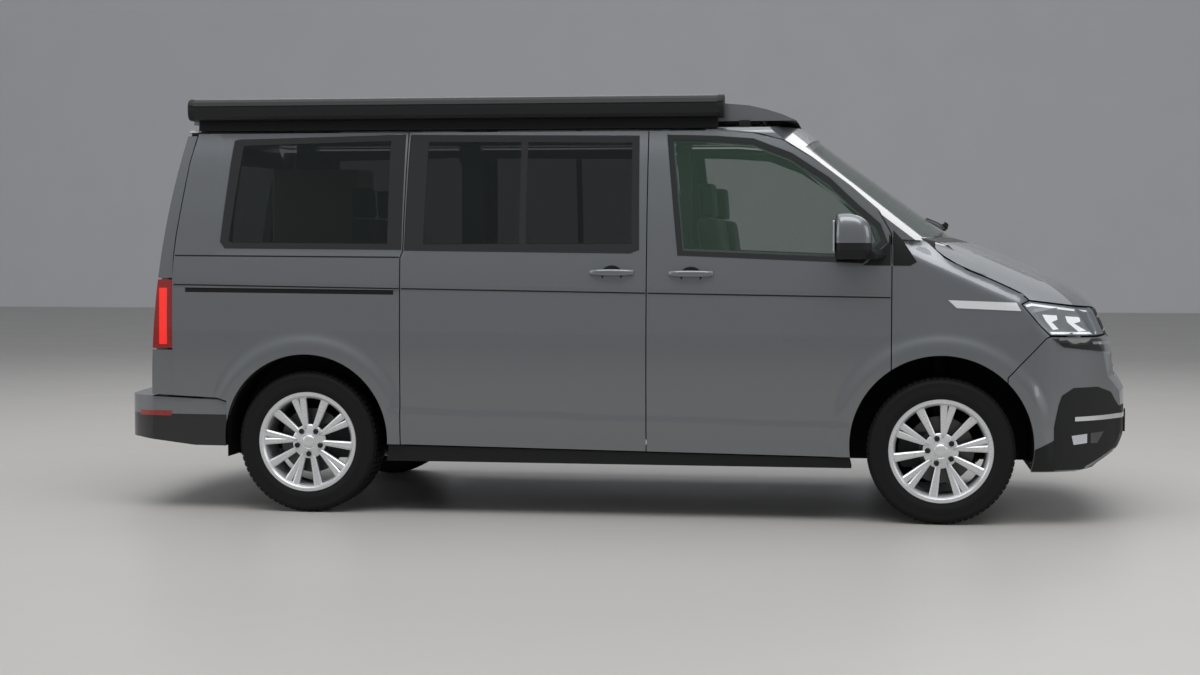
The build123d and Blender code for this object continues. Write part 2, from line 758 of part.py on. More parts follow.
def caliper(x, side_of_axle):
    """Brake caliper that straddles the disc without touching it."""
    with BuildPart() as solid:
        with BuildSketch(Plane.XZ.offset(-(wheel_y + 38))):
            with Locations((x, tyre_radius)):
                Circle(194)
                Circle(100, mode=Mode.SUBTRACT)
            with Locations((x - side_of_axle * 300, tyre_radius)):
                Rectangle(600, 600, mode=Mode.SUBTRACT)
            with Locations((x, tyre_radius + 230), (x, tyre_radius - 230)):
                Rectangle(600, 300, mode=Mode.SUBTRACT)
        extrude(amount=66)
        with BuildSketch(Plane.XZ.offset(-(wheel_y + disc_thickness - 2 + 6))):
            with Locations((x, tyre_radius)):
                Circle(disc_radius + 7)
        extrude(amount=disc_thickness + 12, mode=Mode.SUBTRACT)
    return solid.part


def upright(x, side_of_axle):
    """Ring, caliper bracket and caliper that carry one wheel."""
    ring = bearing_ring(x, wheel_y - 78, wheel_y - 12)
    bracket = combine(
        side_prism(
            [(x, 300), (x + side_of_axle * 185, 285), (x + side_of_axle * 185, 395), (x, 380)],
            wheel_y - 60, wheel_y - 22,
        ),
        cut=[cylinder_y(x, tyre_radius, stub_bore_radius, 600, 900)],
    )
    return combine(ring, join=[bracket, caliper(x, side_of_axle)])


knuckle_foot = block((1512, 1572), (700, 775), (knuckle_foot_z, 300))
knuckle_arm = block((1512, 1572), (660, 690), (380, 560))
knuckle_bridge = block((1512, 1572), (660, 775), (370, 410))
knuckle_left = combine(
    upright(front_axle_x, -1), join=[knuckle_foot, knuckle_bridge, knuckle_arm],
    cut=[cylinder_y(front_axle_x, tyre_radius, stub_bore_radius, 600, 900)],
)
save(knuckle_left, "knuckle_left")
save(other_side(knuckle_left), "knuckle_right")

trailing_arm = side_prism([(-1500, 300), (-1500, 372), (-960, 430), (-960, 360)], 590, 650)
rear_hub = combine(
    upright(rear_axle_x, 1), join=[block((-1500, -1416), (590, 775), (300, 360))],
    cut=[cylinder_y(rear_axle_x, tyre_radius, stub_bore_radius, 690, 900)],
)
rear_beam = side_prism([(-1500, 240), (-1416, 240), (-1416, 326), (-1500, 326)], -640, 640)
rear_axle = combine(rear_beam, join=[pair(trailing_arm), pair(rear_hub)])
save(rear_axle, "rear_axle")

# Wheels


def wheel_solids(x):
    """Tyre and rim of a left wheel."""
    with BuildPart() as tyre:
        with BuildSketch(Plane.XY.offset(tyre_radius)):
            with BuildLine():
                Polyline(
                    (x + bead_radius, wheel_y - bead_half_width + 1),
                    (x + tyre_radius, wheel_y - tyre_half_width),
                    (x + tyre_radius, wheel_y + tyre_half_width),
                    (x + bead_radius, wheel_y + bead_half_width - 1),
                    close=True,
                )
            make_face()
        revolve(axis=Axis((x, 0, tyre_radius), (0, 1, 0)))
    with BuildPart() as rim:
        with BuildSketch(Plane.XY.offset(tyre_radius)):
            with BuildLine():
                Polyline(
                    (x + rim_radius, wheel_y - 112), (x + rim_radius, wheel_y - bead_half_width - 3.5),
                    (x + bead_radius - 0.5, wheel_y - bead_half_width),
                    (x + bead_radius - 0.5, wheel_y + bead_half_width),
                    (x + rim_radius, wheel_y + bead_half_width + 3.5), (x + rim_radius, wheel_y + 112),
                    (x + barrel_radius, wheel_y + 100), (x + barrel_radius, wheel_y - 100), close=True,
                )
            make_face()
        revolve(axis=Axis((x, 0, tyre_radius), (0, 1, 0)))
        with BuildSketch(Plane.XZ.offset(-(wheel_y + 92))):
            with Locations((x, tyre_radius)):
                Circle(74)
                with PolarLocations(140, 5, start_angle=45):
                    Rectangle(150, 30)
                with PolarLocations(140, 5, start_angle=2):
                    Rectangle(150, 22)
                with PolarLocations(140, 5, start_angle=16):
                    Rectangle(150, 22)
        extrude(amount=30)
        with BuildSketch(Plane.XZ.offset(-(wheel_y + 64))):
            with Locations((x, tyre_radius)):
                Circle(72)
        extrude(amount=50)
        with BuildSketch(Plane.XZ.offset(-(wheel_y + disc_thickness - 2))):
            with Locations((x, tyre_radius)):
                Circle(disc_radius)
        extrude(amount=disc_thickness)
        with BuildSketch(Plane.XZ.offset(-(wheel_y - 1))):
            with Locations((x, tyre_radius)):
                Circle(stub_radius)
        extrude(amount=60)
    return tyre.part, rim.part


for place, axle_x in (("front", front_axle_x), ("rear", rear_axle_x)):
    tyre_left, rim_left = wheel_solids(axle_x)
    save(tyre_left, f"tyre_{place}_left")
    save(rim_left, f"rim_{place}_left")
    save(other_side(tyre_left), f"tyre_{place}_right")
    save(other_side(rim_left), f"rim_{place}_right")

# Roof equipment
roof_drops = [
    (-2070, 60), (-2040, 28), (-1900, 8), (-1200, 0), (-300, 0), (150, 8), (516, 34), (642, 45), (725, 64),
    (800, 88),
]
roof_base_z = roof_crown_z + 10
roof_outline = [(-2080, roof_base_z), *((x, overall_height - drop) for x, drop in roof_drops), (868, roof_base_z)]
roof_half_width = 735
roof_room = combine(
    side_prism(roof_outline, -roof_half_width, roof_half_width, inset=roof_wall),
    keep=[block((-2200, 1000), (roof_wall - roof_half_width, roof_half_width - roof_wall), (1800, overall_height))],
)
pop_up_roof = combine(
    side_prism(roof_outline, -roof_half_width, roof_half_width),
    cut=[roof_room, block((-1980, 700), (-680, 680), (1860, overall_height - 60))],
)
save(pop_up_roof, "pop_up_roof")
bellows = combine(block((-1400, 690), (-600, 600), (1866, 1900)), cut=[block((-1388, 678), (-588, 588), (1800, 1950))])
save(bellows, "roof_bellows")
awning_case = side_prism(
    [(-2078, 1880), (-2078, 1988), (534, 1988), (534, 1880)], -925, -795,
)
awning_feet = [
    combine(block((x - 45, x + 45), (-850, -810), (1800, 1885)), cut=[cabin[0]]) for x in (-1900, -770, 360)
]
save(combine(awning_case, join=awning_feet), "awning")
save(combine(block((600, 650), (-790, -750), (1800, 1872)), cut=[cabin[0]]), "roof_catch")

# Interior
dashboard = side_prism(
    [(1180, 960), (1250, 1170), (1400, 1215), (1412, 1215), (1412, 800), (1230, 820)], -772, 772
)
save(dashboard, "dashboard")
with BuildPart() as steering_wheel:
    column = Plane(origin=(1100, -370, 1090), x_dir=(0, 1, 0), z_dir=(-0.5, 0, 0.866))
    with BuildSketch(column):
        Circle(192)
        Circle(166, mode=Mode.SUBTRACT)
        Rectangle(350, 40)
        Circle(60)
    extrude(amount=24)
    with BuildSketch(column):
        Circle(28)
    extrude(amount=-120)
save(steering_wheel.part, "steering_wheel")


def seat(x, y, width):
    """Seat with a cushion, a backrest and a headrest."""
    cushion = side_prism(
        [(x - 60, 480), (x + 380, 480), (x + 420, 700), (x + 520, 820), (x + 500, 880), (x, 850)],
        y - width / 2, y + width / 2,
    )
    back = side_prism(
        [(x - 20, 830), (x + 110, 860), (x - 10, 1420), (x - 90, 1420), (x - 120, 1380)],
        y - width / 2, y + width / 2,
    )
    head = side_prism(
        [(x - 20, 1400), (x - 20, 1560), (x - 100, 1590), (x - 110, 1400)], y - 130, y + 130
    )
    return combine(cushion, join=[back, head])


save(pair(seat(480, 400, 480)), "front_seats")
save(seat(-1250, -150, 1000), "rear_bench")
kitchen = block((-1500, 60), (420, 754), (480, 1240), 15)
wheel_room = cylinder_y(rear_axle_x, arch_z, rear_arch_radius + 18, 640, 1000)
save(combine(kitchen, cut=[wheel_room]), "kitchen_unit")
save(combine(block((-2050, -1560), (420, 754), (480, 1700), 15), cut=[wheel_room]), "rear_cupboard")
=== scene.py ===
"""A camper van in a plain studio: paint, glass, lamps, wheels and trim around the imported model.

Sizes are in millimetres and become metres where a mesh is made. +X is forward, +Y is the van's left.
"""

from __future__ import annotations

import json
import logging
import math
from dataclasses import dataclass, field
from enum import Enum
from typing import Callable, ClassVar, Iterable, Sequence

import bmesh
import bpy
from mathutils import Matrix, Vector
from mathutils.bvhtree import BVHTree
from mathutils.geometry import delaunay_2d_cdt
from mathutils.kdtree import KDTree

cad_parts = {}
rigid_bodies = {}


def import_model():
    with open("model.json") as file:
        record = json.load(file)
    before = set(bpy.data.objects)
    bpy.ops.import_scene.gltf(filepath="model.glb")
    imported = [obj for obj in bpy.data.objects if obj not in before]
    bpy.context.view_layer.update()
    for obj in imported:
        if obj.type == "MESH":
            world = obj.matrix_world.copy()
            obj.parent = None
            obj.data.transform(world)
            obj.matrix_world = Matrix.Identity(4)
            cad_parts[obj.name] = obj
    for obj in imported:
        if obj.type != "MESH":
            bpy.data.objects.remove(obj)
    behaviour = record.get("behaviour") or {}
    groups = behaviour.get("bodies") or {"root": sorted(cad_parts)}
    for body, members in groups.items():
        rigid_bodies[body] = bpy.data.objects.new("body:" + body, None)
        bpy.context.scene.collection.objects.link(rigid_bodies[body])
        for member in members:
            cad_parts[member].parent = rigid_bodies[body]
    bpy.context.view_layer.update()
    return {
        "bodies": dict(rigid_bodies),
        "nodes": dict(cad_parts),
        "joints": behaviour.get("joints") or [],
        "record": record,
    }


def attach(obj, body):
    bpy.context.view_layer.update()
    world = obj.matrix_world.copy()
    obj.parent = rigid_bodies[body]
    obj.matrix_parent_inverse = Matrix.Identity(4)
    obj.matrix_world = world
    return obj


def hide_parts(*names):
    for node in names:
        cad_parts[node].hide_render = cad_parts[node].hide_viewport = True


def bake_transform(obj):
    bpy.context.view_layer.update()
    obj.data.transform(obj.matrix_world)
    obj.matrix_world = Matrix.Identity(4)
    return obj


MM = 0.001
LOG = logging.getLogger("camper")

Point = tuple[float, float]
Outline = Sequence[Point]
Face = tuple[int, ...]

# Least share of a mitre, so that a sharp corner isn't thrown far out.
LEAST_MITRE = 0.3
# Share of a step that a grid point keeps from the points along the edges.
EDGE_CLEARANCE = 0.55


class Side(Enum):
    """Which side of the van a piece is on, as the sign of Y."""

    LEFT = 1
    RIGHT = -1

    @property
    def word(self) -> str:
        """The side's name in a piece name."""
        return self.name.lower()


class Pattern(Enum):
    """How a finish varies over its surface."""

    CLOUD = "cloud"
    FLAKE = "flake"
    BRUSHED = "brushed"
    WEAVE = "weave"
    LEATHERY = "leathery"


def linear(code: str) -> tuple[float, float, float, float]:
    """Turn an sRGB hex colour into linear RGBA.

    Args:
        code: Six hex digits.

    Returns:
        The four linear values.
    """
    parts = [int(code[i : i + 2], 16) / 255 for i in (0, 2, 4)]
    values = [c / 12.92 if c <= 0.04045 else ((c + 0.055) / 1.055) ** 2.4 for c in parts]
    return (values[0], values[1], values[2], 1.0)


def add_node(tree: bpy.types.NodeTree, kind: str, settings: dict, links: dict) -> bpy.types.Node:
    """Add a node with its settings and its incoming links.

    Args:
        tree: The tree that gets the node.
        kind: Blender's name for the node.
        settings: Values for its inputs or properties, by name or input number.
        links: Output sockets to link, by input name or number.

    Returns:
        The new node.
    """
    node = tree.nodes.new(kind)
    for name, value in settings.items():
        if isinstance(name, str) and hasattr(node, name):
            setattr(node, name, value)
        else:
            node.inputs[name].default_value = value
    for name, socket in links.items():
        tree.links.new(socket, node.inputs[name])
    return node


@dataclass(frozen=True)
class Finish:
    """A surface finish: what it is made of, and how that looks."""

    name: str
    color: str
    second: str
    roughness: float
    grain_mm: float
    bump: float
    metallic: float = 0.0
    coat: float = 0.0
    ior: float = 1.5
    sheen: float = 0.0
    glow: float = 0.0
    alpha: float = 1.0
    specular: float = 0.5
    lower_color: str = ""
    split_z: float = 0.0
    pattern: Pattern = Pattern.CLOUD

    BRUSH_STRETCH: ClassVar[float] = 0.02
    UNEVENNESS: ClassVar[float] = 0.12
    GRAIN_DEPTH: ClassVar[float] = 0.3
    COAT_ROUGHNESS: ClassVar[float] = 0.03

    def _stretch(self) -> tuple[float, float, float]:
        """Scale of the pattern along each axis."""
        across = 1 / (self.grain_mm * MM)
        along = across * self.BRUSH_STRETCH if self.pattern is Pattern.BRUSHED else across
        return (along, across, across)

    def material(self) -> bpy.types.Material:
        """Build the node material, or return the one that is already built."""
        found = bpy.data.materials.get(self.name)
        if found:
            return found
        made = bpy.data.materials.new(self.name)
        made.use_nodes = True
        tree = made.node_tree
        tree.nodes.clear()
        where = add_node(tree, "ShaderNodeTexCoord", {}, {})
        scaled = add_node(
            tree, "ShaderNodeMapping", {"Scale": self._stretch()}, {"Vector": where.outputs["Object"]}
        )
        if self.pattern is Pattern.WEAVE:
            weave = add_node(tree, "ShaderNodeTexChecker", {"Scale": 1.0}, {"Vector": scaled.outputs[0]})
            height = weave.outputs["Fac"]
        elif self.pattern in (Pattern.FLAKE, Pattern.LEATHERY):
            cells = add_node(tree, "ShaderNodeTexVoronoi", {"Scale": 1.0}, {"Vector": scaled.outputs[0]})
            height = cells.outputs["Distance"]
        else:
            cloud = add_node(
                tree, "ShaderNodeTexNoise", {"Scale": 1.0, "Detail": 3.0}, {"Vector": scaled.outputs[0]}
            )
            height = cloud.outputs["Fac"]
        shade = add_node(
            tree, "ShaderNodeMix",
            {"data_type": "RGBA", 6: linear(self.color), 7: linear(self.second)}, {0: height},
        )
        color = shade.outputs[2]
        if self.lower_color:
            parts = add_node(tree, "ShaderNodeSeparateXYZ", {}, {"Vector": where.outputs["Object"]})
            above = add_node(
                tree, "ShaderNodeMath", {"operation": "GREATER_THAN", 1: self.split_z * MM},
                {0: parts.outputs["Z"]},
            )
            tones = add_node(
                tree, "ShaderNodeMix", {"data_type": "RGBA", 6: linear(self.lower_color)},
                {0: above.outputs[0], 7: color},
            )
            color = tones.outputs[2]
        smoothest, roughest = self.roughness * (1 - self.UNEVENNESS), self.roughness * (1 + self.UNEVENNESS)
        uneven = add_node(
            tree, "ShaderNodeMapRange", {"To Min": smoothest, "To Max": min(1.0, roughest)}, {"Value": height}
        )
        relief = add_node(
            tree, "ShaderNodeBump",
            {"Strength": self.bump, "Distance": self.grain_mm * MM * self.GRAIN_DEPTH}, {"Height": height},
        )
        surface = add_node(
            tree, "ShaderNodeBsdfPrincipled",
            {
                "Metallic": self.metallic, "Coat Weight": self.coat, "Coat Roughness": self.COAT_ROUGHNESS,
                "IOR": self.ior, "Sheen Weight": self.sheen, "Emission Color": linear(self.color),
                "Emission Strength": self.glow, "Alpha": self.alpha, "Specular IOR Level": self.specular,
            },
            {"Base Color": color, "Roughness": uneven.outputs[0], "Normal": relief.outputs[0]},
        )
        add_node(tree, "ShaderNodeOutputMaterial", {}, {"Surface": surface.outputs[0]})
        return made


# Metallic base coat under clear lacquer: dark grey with fine bright flake and a sharp gloss.
PAINT = Finish("grey_metallic_paint", "686b6e", "74777b", 0.32, 1.2, 0.03, 0.6, 1.0, pattern=Pattern.FLAKE)
# Moulded polypropylene with a fine eroded grain: deep grey, soft highlights.
TRIM = Finish(
    "grained_black_plastic", "0d0e0f", "151617", 0.56, 1.6, 0.25, specular=0.3, pattern=Pattern.LEATHERY
)
# Injection-moulded ABS in piano black: mirror-like.
GLOSS_BLACK = Finish("gloss_black_abs", "0a0b0c", "0e0f10", 0.08, 60.0, 0.0, coat=1.0)
# Ceramic band fired on glass: black behind a hard gloss.
FRIT = Finish("fired_black_band", "08090a", "0b0c0d", 0.05, 50.0, 0.0, coat=1.0)
# Float glass with a light green cast: thin sheets, so light passes straight through.
CLEAR_GLASS = Finish("green_float_glass", "43584c", "3f5448", 0.03, 400.0, 0.0, alpha=0.26)
# Body-tinted privacy glass: nearly black with a green cast.
PRIVACY_GLASS = Finish("privacy_glass", "0a1210", "0c1411", 0.03, 400.0, 0.0, alpha=0.55)
# Near-black sheets in slots, seams and the character line's crease: painted shade deep in them, where no
# light comes back.
SLOT_SHADE = Finish("black_slot_rubber", "030303", "050505", 0.95, 2.0, 0.05)
# Body paint above a set height and dark grey below it, as on the rear bumper.
BUMPER_PAINT = Finish(
    "two_tone_bumper", "686b6e", "74777b", 0.36, 1.2, 0.03, 0.5, 0.8, lower_color="17181a", split_z=468.0,
    pattern=Pattern.FLAKE,
)
# Powder-coated aluminium extrusion: black with a faint orange peel.
AWNING_CASE = Finish("black_powder_coat", "111213", "17181a", 0.42, 2.4, 0.12, specular=0.35)
# Cast aluminium under silver lacquer.
ALLOY = Finish("silver_lacquered_alloy", "d9dadb", "cfd0d2", 0.28, 3.0, 0.03, 0.6, 0.6)
# Vulcanised rubber with a matt mould texture.
RUBBER = Finish("tyre_rubber", "0a0a0b", "111112", 0.72, 2.0, 0.2, specular=0.25, pattern=Pattern.LEATHERY)
# Turned cast iron of a brake disc: concentric marks read as a dull sheen.
DISC_IRON = Finish("turned_cast_iron", "5d5c5b", "4c4b4a", 0.4, 0.8, 0.15, 0.9, pattern=Pattern.BRUSHED)
# As-cast iron, rough and dark.
CAST_IRON = Finish("rough_cast_iron", "222223", "19191a", 0.68, 3.0, 0.4, 0.4)
# Waxed underseal on pressed steel.
UNDERSEAL = Finish("waxed_underseal", "0a0a0b", "101112", 0.7, 6.0, 0.35, specular=0.2)
# Chromium plate on ABS.
CHROME = Finish("bright_chrome", "e4e5e7", "dcdde0", 0.06, 80.0, 0.0, 1.0)
# Aluminised reflector bowl.
REFLECTOR = Finish("aluminised_bowl", "d5d8dc", "c3c6cb", 0.14, 12.0, 0.05, 0.95)
# Grey moulded housing behind the lens, satin where the reflectors leave it bare.
LAMP_HOUSING = Finish("satin_lamp_housing", "70757a", "656a6f", 0.3, 12.0, 0.05, 0.5)
# Satin anodised aluminium strip.
SATIN_STRIP = Finish(
    "satin_anodised_strip", "dcdedf", "d3d5d7", 0.34, 2.0, 0.04, 0.2, pattern=Pattern.BRUSHED
)
# Hard-coated polycarbonate lens.
CLEAR_LENS = Finish("clear_polycarbonate", "e6eaed", "e0e5e8", 0.03, 300.0, 0.0, alpha=0.14)
# Light guide of a daytime lamp: milky acrylic that carries light along its edge.
LIGHT_GUIDE = Finish("milky_light_guide", "f3f6f8", "e9edf0", 0.2, 20.0, 0.02, coat=1.0, glow=0.25)
# Lit fibre bar behind a red lens.
RED_GUIDE = Finish("red_light_guide", "e2231a", "c91c14", 0.2, 12.0, 0.05, coat=1.0, glow=0.55)
# Red dyed acrylic over small prisms, with a faint glow that is painted light on the reflectors, which hold no
# lamp.
RED_LENS = Finish(
    "red_acrylic", "8f100c", "740b09", 0.12, 9.0, 0.2, coat=1.0, glow=0.03, pattern=Pattern.LEATHERY
)
# Retroreflective film on the blank plates: white in front, yellow behind.
PLATE_FILM = Finish("blank_plate_film", "dfe0de", "d5d7d5", 0.4, 5.0, 0.08)
PLATE_FILM_REAR = Finish("blank_rear_plate_film", "d9c33a", "d1ba30", 0.4, 5.0, 0.08)
# Woven polyester seat cloth: threads drawn coarse enough to show.
SEAT_CLOTH = Finish("woven_seat_cloth", "34363a", "24262a", 0.9, 3.0, 0.5, sheen=0.4, pattern=Pattern.WEAVE)
# Coated polyester tent cloth.
TENT_CLOTH = Finish("tent_cloth", "8b8d8f", "7d7f82", 0.85, 1.8, 0.3, sheen=0.2, pattern=Pattern.WEAVE)
# Melamine laminate on light plywood.
LAMINATE = Finish("pale_laminate", "b9b6ae", "aeaaa1", 0.42, 14.0, 0.06, pattern=Pattern.BRUSHED)
# Welded stainless exhaust tube, dulled by heat.
EXHAUST_STEEL = Finish("dull_stainless", "7c7a76", "65625e", 0.44, 2.0, 0.12, 0.9, pattern=Pattern.BRUSHED)


class Shape:
    """A mesh that grows by vertices in millimetres."""

    def __init__(self) -> None:
        """Start with nothing."""
        self.verts: list[tuple[float, float, float]] = []
        self.faces: list[tuple[int, ...]] = []

    def add(self, verts: Iterable[Sequence[float]], faces: Iterable[Sequence[int]]) -> None:
        """Join more vertices and faces.

        Args:
            verts: Their places in millimetres.
            faces: Faces that count from the first of those vertices.
        """
        start = len(self.verts)
        self.verts += [(v[0], v[1], v[2]) for v in verts]
        self.faces += [tuple(start + i for i in f) for f in faces]

    def loft(
        self, rings: Sequence[Sequence[Sequence[float]]], closed: bool = True, capped: bool = True
    ) -> None:
        """Join rings of equally many points.

        Args:
            rings: The rings, in order.
            closed: Whether each ring closes on itself.
            capped: Whether the first and last ring get a face.
        """
        count = len(rings[0])
        faces: list[tuple[int, ...]] = []
        for r in range(len(rings) - 1):
            for i in range(count if closed else count - 1):
                j = (i + 1) % count
                faces.append((r * count + i, r * count + j, (r + 1) * count + j, (r + 1) * count + i))
        if capped:
            faces.append(tuple(reversed(range(count))))
            faces.append(tuple(range((len(rings) - 1) * count, len(rings) * count)))
        self.add([p for ring in rings for p in ring], faces)

    def box(self, low: Sequence[float], high: Sequence[float]) -> None:
        """Add a box between two corners.

        Args:
            low: Its lowest corner.
            high: Its highest corner.
        """
        rings = [
            [(x, low[1], low[2]), (x, high[1], low[2]), (x, high[1], high[2]), (x, low[1], high[2])]
            for x in (low[0], high[0])
        ]
        self.loft(rings)

    def object(self, name: str, outward: bool = True) -> bpy.types.Object:
        """Make the Blender object.

        Args:
            name: Its name.
            outward: Whether its faces are turned outwards, as on a closed shape.

        Returns:
            The linked object, at the origin.
        """
        mesh = bpy.data.meshes.new(name)
        mesh.from_pydata([tuple(c * MM for c in v) for v in self.verts], [], self.faces)
        made = bpy.data.objects.new(name, mesh)
        bpy.context.scene.collection.objects.link(made)
        work = bmesh.new()
        work.from_mesh(mesh)
        bmesh.ops.remove_doubles(work, verts=work.verts, dist=1e-6)
        if outward:
            bmesh.ops.recalc_face_normals(work, faces=work.faces)
        work.to_mesh(mesh)
        work.free()
        return made


def bevelled(thing: bpy.types.Object, width: float, segments: int = 2, angle: float = 35.0) -> None:
    """Round an object's sharp edges for good.

    Args:
        thing: The object.
        width: Width of the rounding, in millimetres.
        segments: How many strips it has.
        angle: Edges sharper than this many degrees are rounded.
    """
    rounding = thing.modifiers.new("rounding", "BEVEL")
    rounding.width = width * MM
    rounding.segments = segments
    rounding.limit_method = "ANGLE"
    rounding.angle_limit = math.radians(angle)
    baked(thing)


def baked(thing: bpy.types.Object) -> None:
    """Turn an object's modifiers into plain mesh.

    Args:
        thing: The object.
    """
    graph = bpy.context.evaluated_depsgraph_get()
    result = bpy.data.meshes.new_from_object(thing.evaluated_get(graph))
    thing.modifiers.clear()
    thing.data = result


def smoothed(thing: bpy.types.Object, angle: float = 32.0) -> None:
    """Shade an object smooth, apart from edges sharper than an angle.

    Args:
        thing: The object.
        angle: The angle in degrees.
    """
    thing.data.shade_smooth()
    thing.data.set_sharp_from_angle(angle=math.radians(angle))


def place(
    thing: bpy.types.Object, finish: Finish, body: str, replaces: Sequence[str] = ()
) -> bpy.types.Object:
    """Give a piece its finish and its body, and report it.

    Args:
        thing: The piece.
        finish: Its finish.
        body: The body that it moves with.
        replaces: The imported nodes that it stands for.

    Returns:
        The piece.
    """
    thing.data.materials.clear()
    thing.data.materials.append(finish.material())
    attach(thing, body)
    if replaces:
        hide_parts(*replaces)
    LOG.info("%s: %d faces on %s", thing.name, len(thing.data.polygons), body)
    return thing


def boxed(
    name: str, low: Sequence[float], high: Sequence[float], rounding: float, finish: Finish, body: str,
    slot: str = "",
) -> bpy.types.Object:
    """Make a box with rounded edges and give it its finish and body.

    Args:
        name: The piece's name.
        low: Its lowest corner.
        high: Its highest corner.
        rounding: Width of its rounded edges.
        finish: Its finish.
        body: The body that it moves with.
        slot: The record's material slot; not used.

    Returns:
        The piece.
    """
    shape = Shape()
    shape.box(low, high)
    made = shape.object(name)
    bevelled(made, rounding)
    return place(made, finish, body)


def inside(point: Point, outline: Outline) -> bool:
    """Whether a point is inside an outline.

    Args:
        point: The point.
        outline: The outline's corners.

    Returns:
        True where it is inside.
    """
    x, z = point
    hit = False
    for (ax, az), (bx, bz) in zip(outline, [*outline[1:], outline[0]]):
        if (az > z) != (bz > z) and x < (bx - ax) * (z - az) / (bz - az) + ax:
            hit = not hit
    return hit


def inset(outline: Outline, amount: float) -> list[Point]:
    """Move an outline in, with sharp corners.

    Args:
        outline: The outline's corners.
        amount: How far, in millimetres.

    Returns:
        The moved corners.
    """
    count = len(outline)
    area = sum(a[0] * b[1] - b[0] * a[1] for a, b in zip(outline, [*outline[1:], outline[0]]))
    turn = 1 if area > 0 else -1
    moved: list[Point] = []
    for i in range(count):
        before, here, after = Vector(outline[i - 1]), Vector(outline[i]), Vector(outline[(i + 1) % count])
        one, two = (here - before).normalized(), (after - here).normalized()
        normals = Vector((-one.y, one.x)) * turn, Vector((-two.y, two.x)) * turn
        middle = normals[0] + normals[1]
        reach = amount / max(LEAST_MITRE, middle.length_squared / 2)
        moved.append(tuple(here + middle * reach))
    return moved


def circle(centre: Point, radius: float, count: int = 120) -> list[Point]:
    """Points on a circle.

    Args:
        centre: Its centre.
        radius: Its radius.
        count: How many points.

    Returns:
        The points.
    """
    turn = math.tau / count
    angles = [i * turn for i in range(count)]
    return [(centre[0] + radius * math.cos(a), centre[1] + radius * math.sin(a)) for a in angles]


def squared(angle: float, power: float) -> Point:
    """Point on a unit circle that a power under 1 presses towards a square."""
    across, up = math.cos(angle), math.sin(angle)
    return math.copysign(abs(across) ** power, across), math.copysign(abs(up) ** power, up)


def divided(outline: Outline, step: float) -> list[Point]:
    """Add points along an outline so that none are further apart than a step.

    Args:
        outline: The corners.
        step: The longest distance.

    Returns:
        Corners and added points.
    """
    points: list[Point] = []
    for a, b in zip(outline, [*outline[1:], outline[0]]):
        parts = max(1, math.ceil(math.dist(a, b) / step))
        points += [(a[0] + (b[0] - a[0]) * i / parts, a[1] + (b[1] - a[1]) * i / parts) for i in range(parts)]
    return points


def sheet(outline: Outline, holes: Sequence[Outline], step: float) -> tuple[list[Point], list[Face]]:
    """Fill an outline with small triangles that keep its edges and holes.

    Args:
        outline: The outer edge.
        holes: Edges of what is left open, which may cross the outer edge.
        step: Size of the triangles.

    Returns:
        Points and triangles.
    """
    loops = [divided(loop, step) for loop in (outline, *holes)]
    points = [p for loop in loops for p in loop]
    edges: list[tuple[int, int]] = []
    start = 0
    for loop in loops:
        edges += [(start + i, start + (i + 1) % len(loop)) for i in range(len(loop))]
        start += len(loop)
    near = KDTree(len(points))
    for i, (x, z) in enumerate(points):
        near.insert((x, z, 0), i)
    near.balance()
    xs, zs = [p[0] for p in outline], [p[1] for p in outline]
    for i in range(int((max(xs) - min(xs)) / step) + 1):
        for j in range(int((max(zs) - min(zs)) / step) + 1):
            spot = (min(xs) + (i + 0.5) * step, min(zs) + (j + 0.5) * step)
            if near.find((*spot, 0))[2] > EDGE_CLEARANCE * step and inside(spot, outline):
                if not any(inside(spot, hole) for hole in holes):
                    points.append(spot)
    result = delaunay_2d_cdt([Vector(p) for p in points], edges, [], 0, 1e-4)
    kept = []
    for face in result[2]:
        spot = tuple(sum(result[0][i][k] for i in face) / 3 for k in (0, 1))
        if inside(spot, outline) and not any(inside(spot, hole) for hole in holes):
            kept.append(tuple(face))
    return [tuple(p) for p in result[0]], kept


def rim_edges(faces: Iterable[Face]) -> list[tuple[int, int]]:
    """Edges that only one face has, each in that face's direction.

    Args:
        faces: The faces.

    Returns:
        Pairs of vertex numbers.
    """
    edges = {pair: None for face in faces for pair in zip(face, (*face[1:], face[0]))}
    return [(one, two) for one, two in edges if (two, one) not in edges]


def height_on(line: tuple[Point, Point], x: float) -> float:
    """Height of a straight line in side view.

    Args:
        line: Its rear and front end.
        x: Where.

    Returns:
        The height.
    """
    (x0, z0), (x1, z1) = line
    return z0 - (x - x0) * (z0 - z1) / (x1 - x0)


def surface(nodes: dict[str, bpy.types.Object], names: Sequence[str]) -> BVHTree:
    """Ray-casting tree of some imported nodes, in millimetres.

    Args:
        nodes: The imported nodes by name.
        names: Which of them.

    Returns:
        The tree.
    """
    verts: list[Vector] = []
    faces: list[tuple[int, ...]] = []
    for name in names:
        start = len(verts)
        verts += [v.co / MM for v in nodes[name].data.vertices]
        faces += [tuple(start + i for i in p.vertices) for p in nodes[name].data.polygons]
    return BVHTree.FromPolygons(verts, faces)


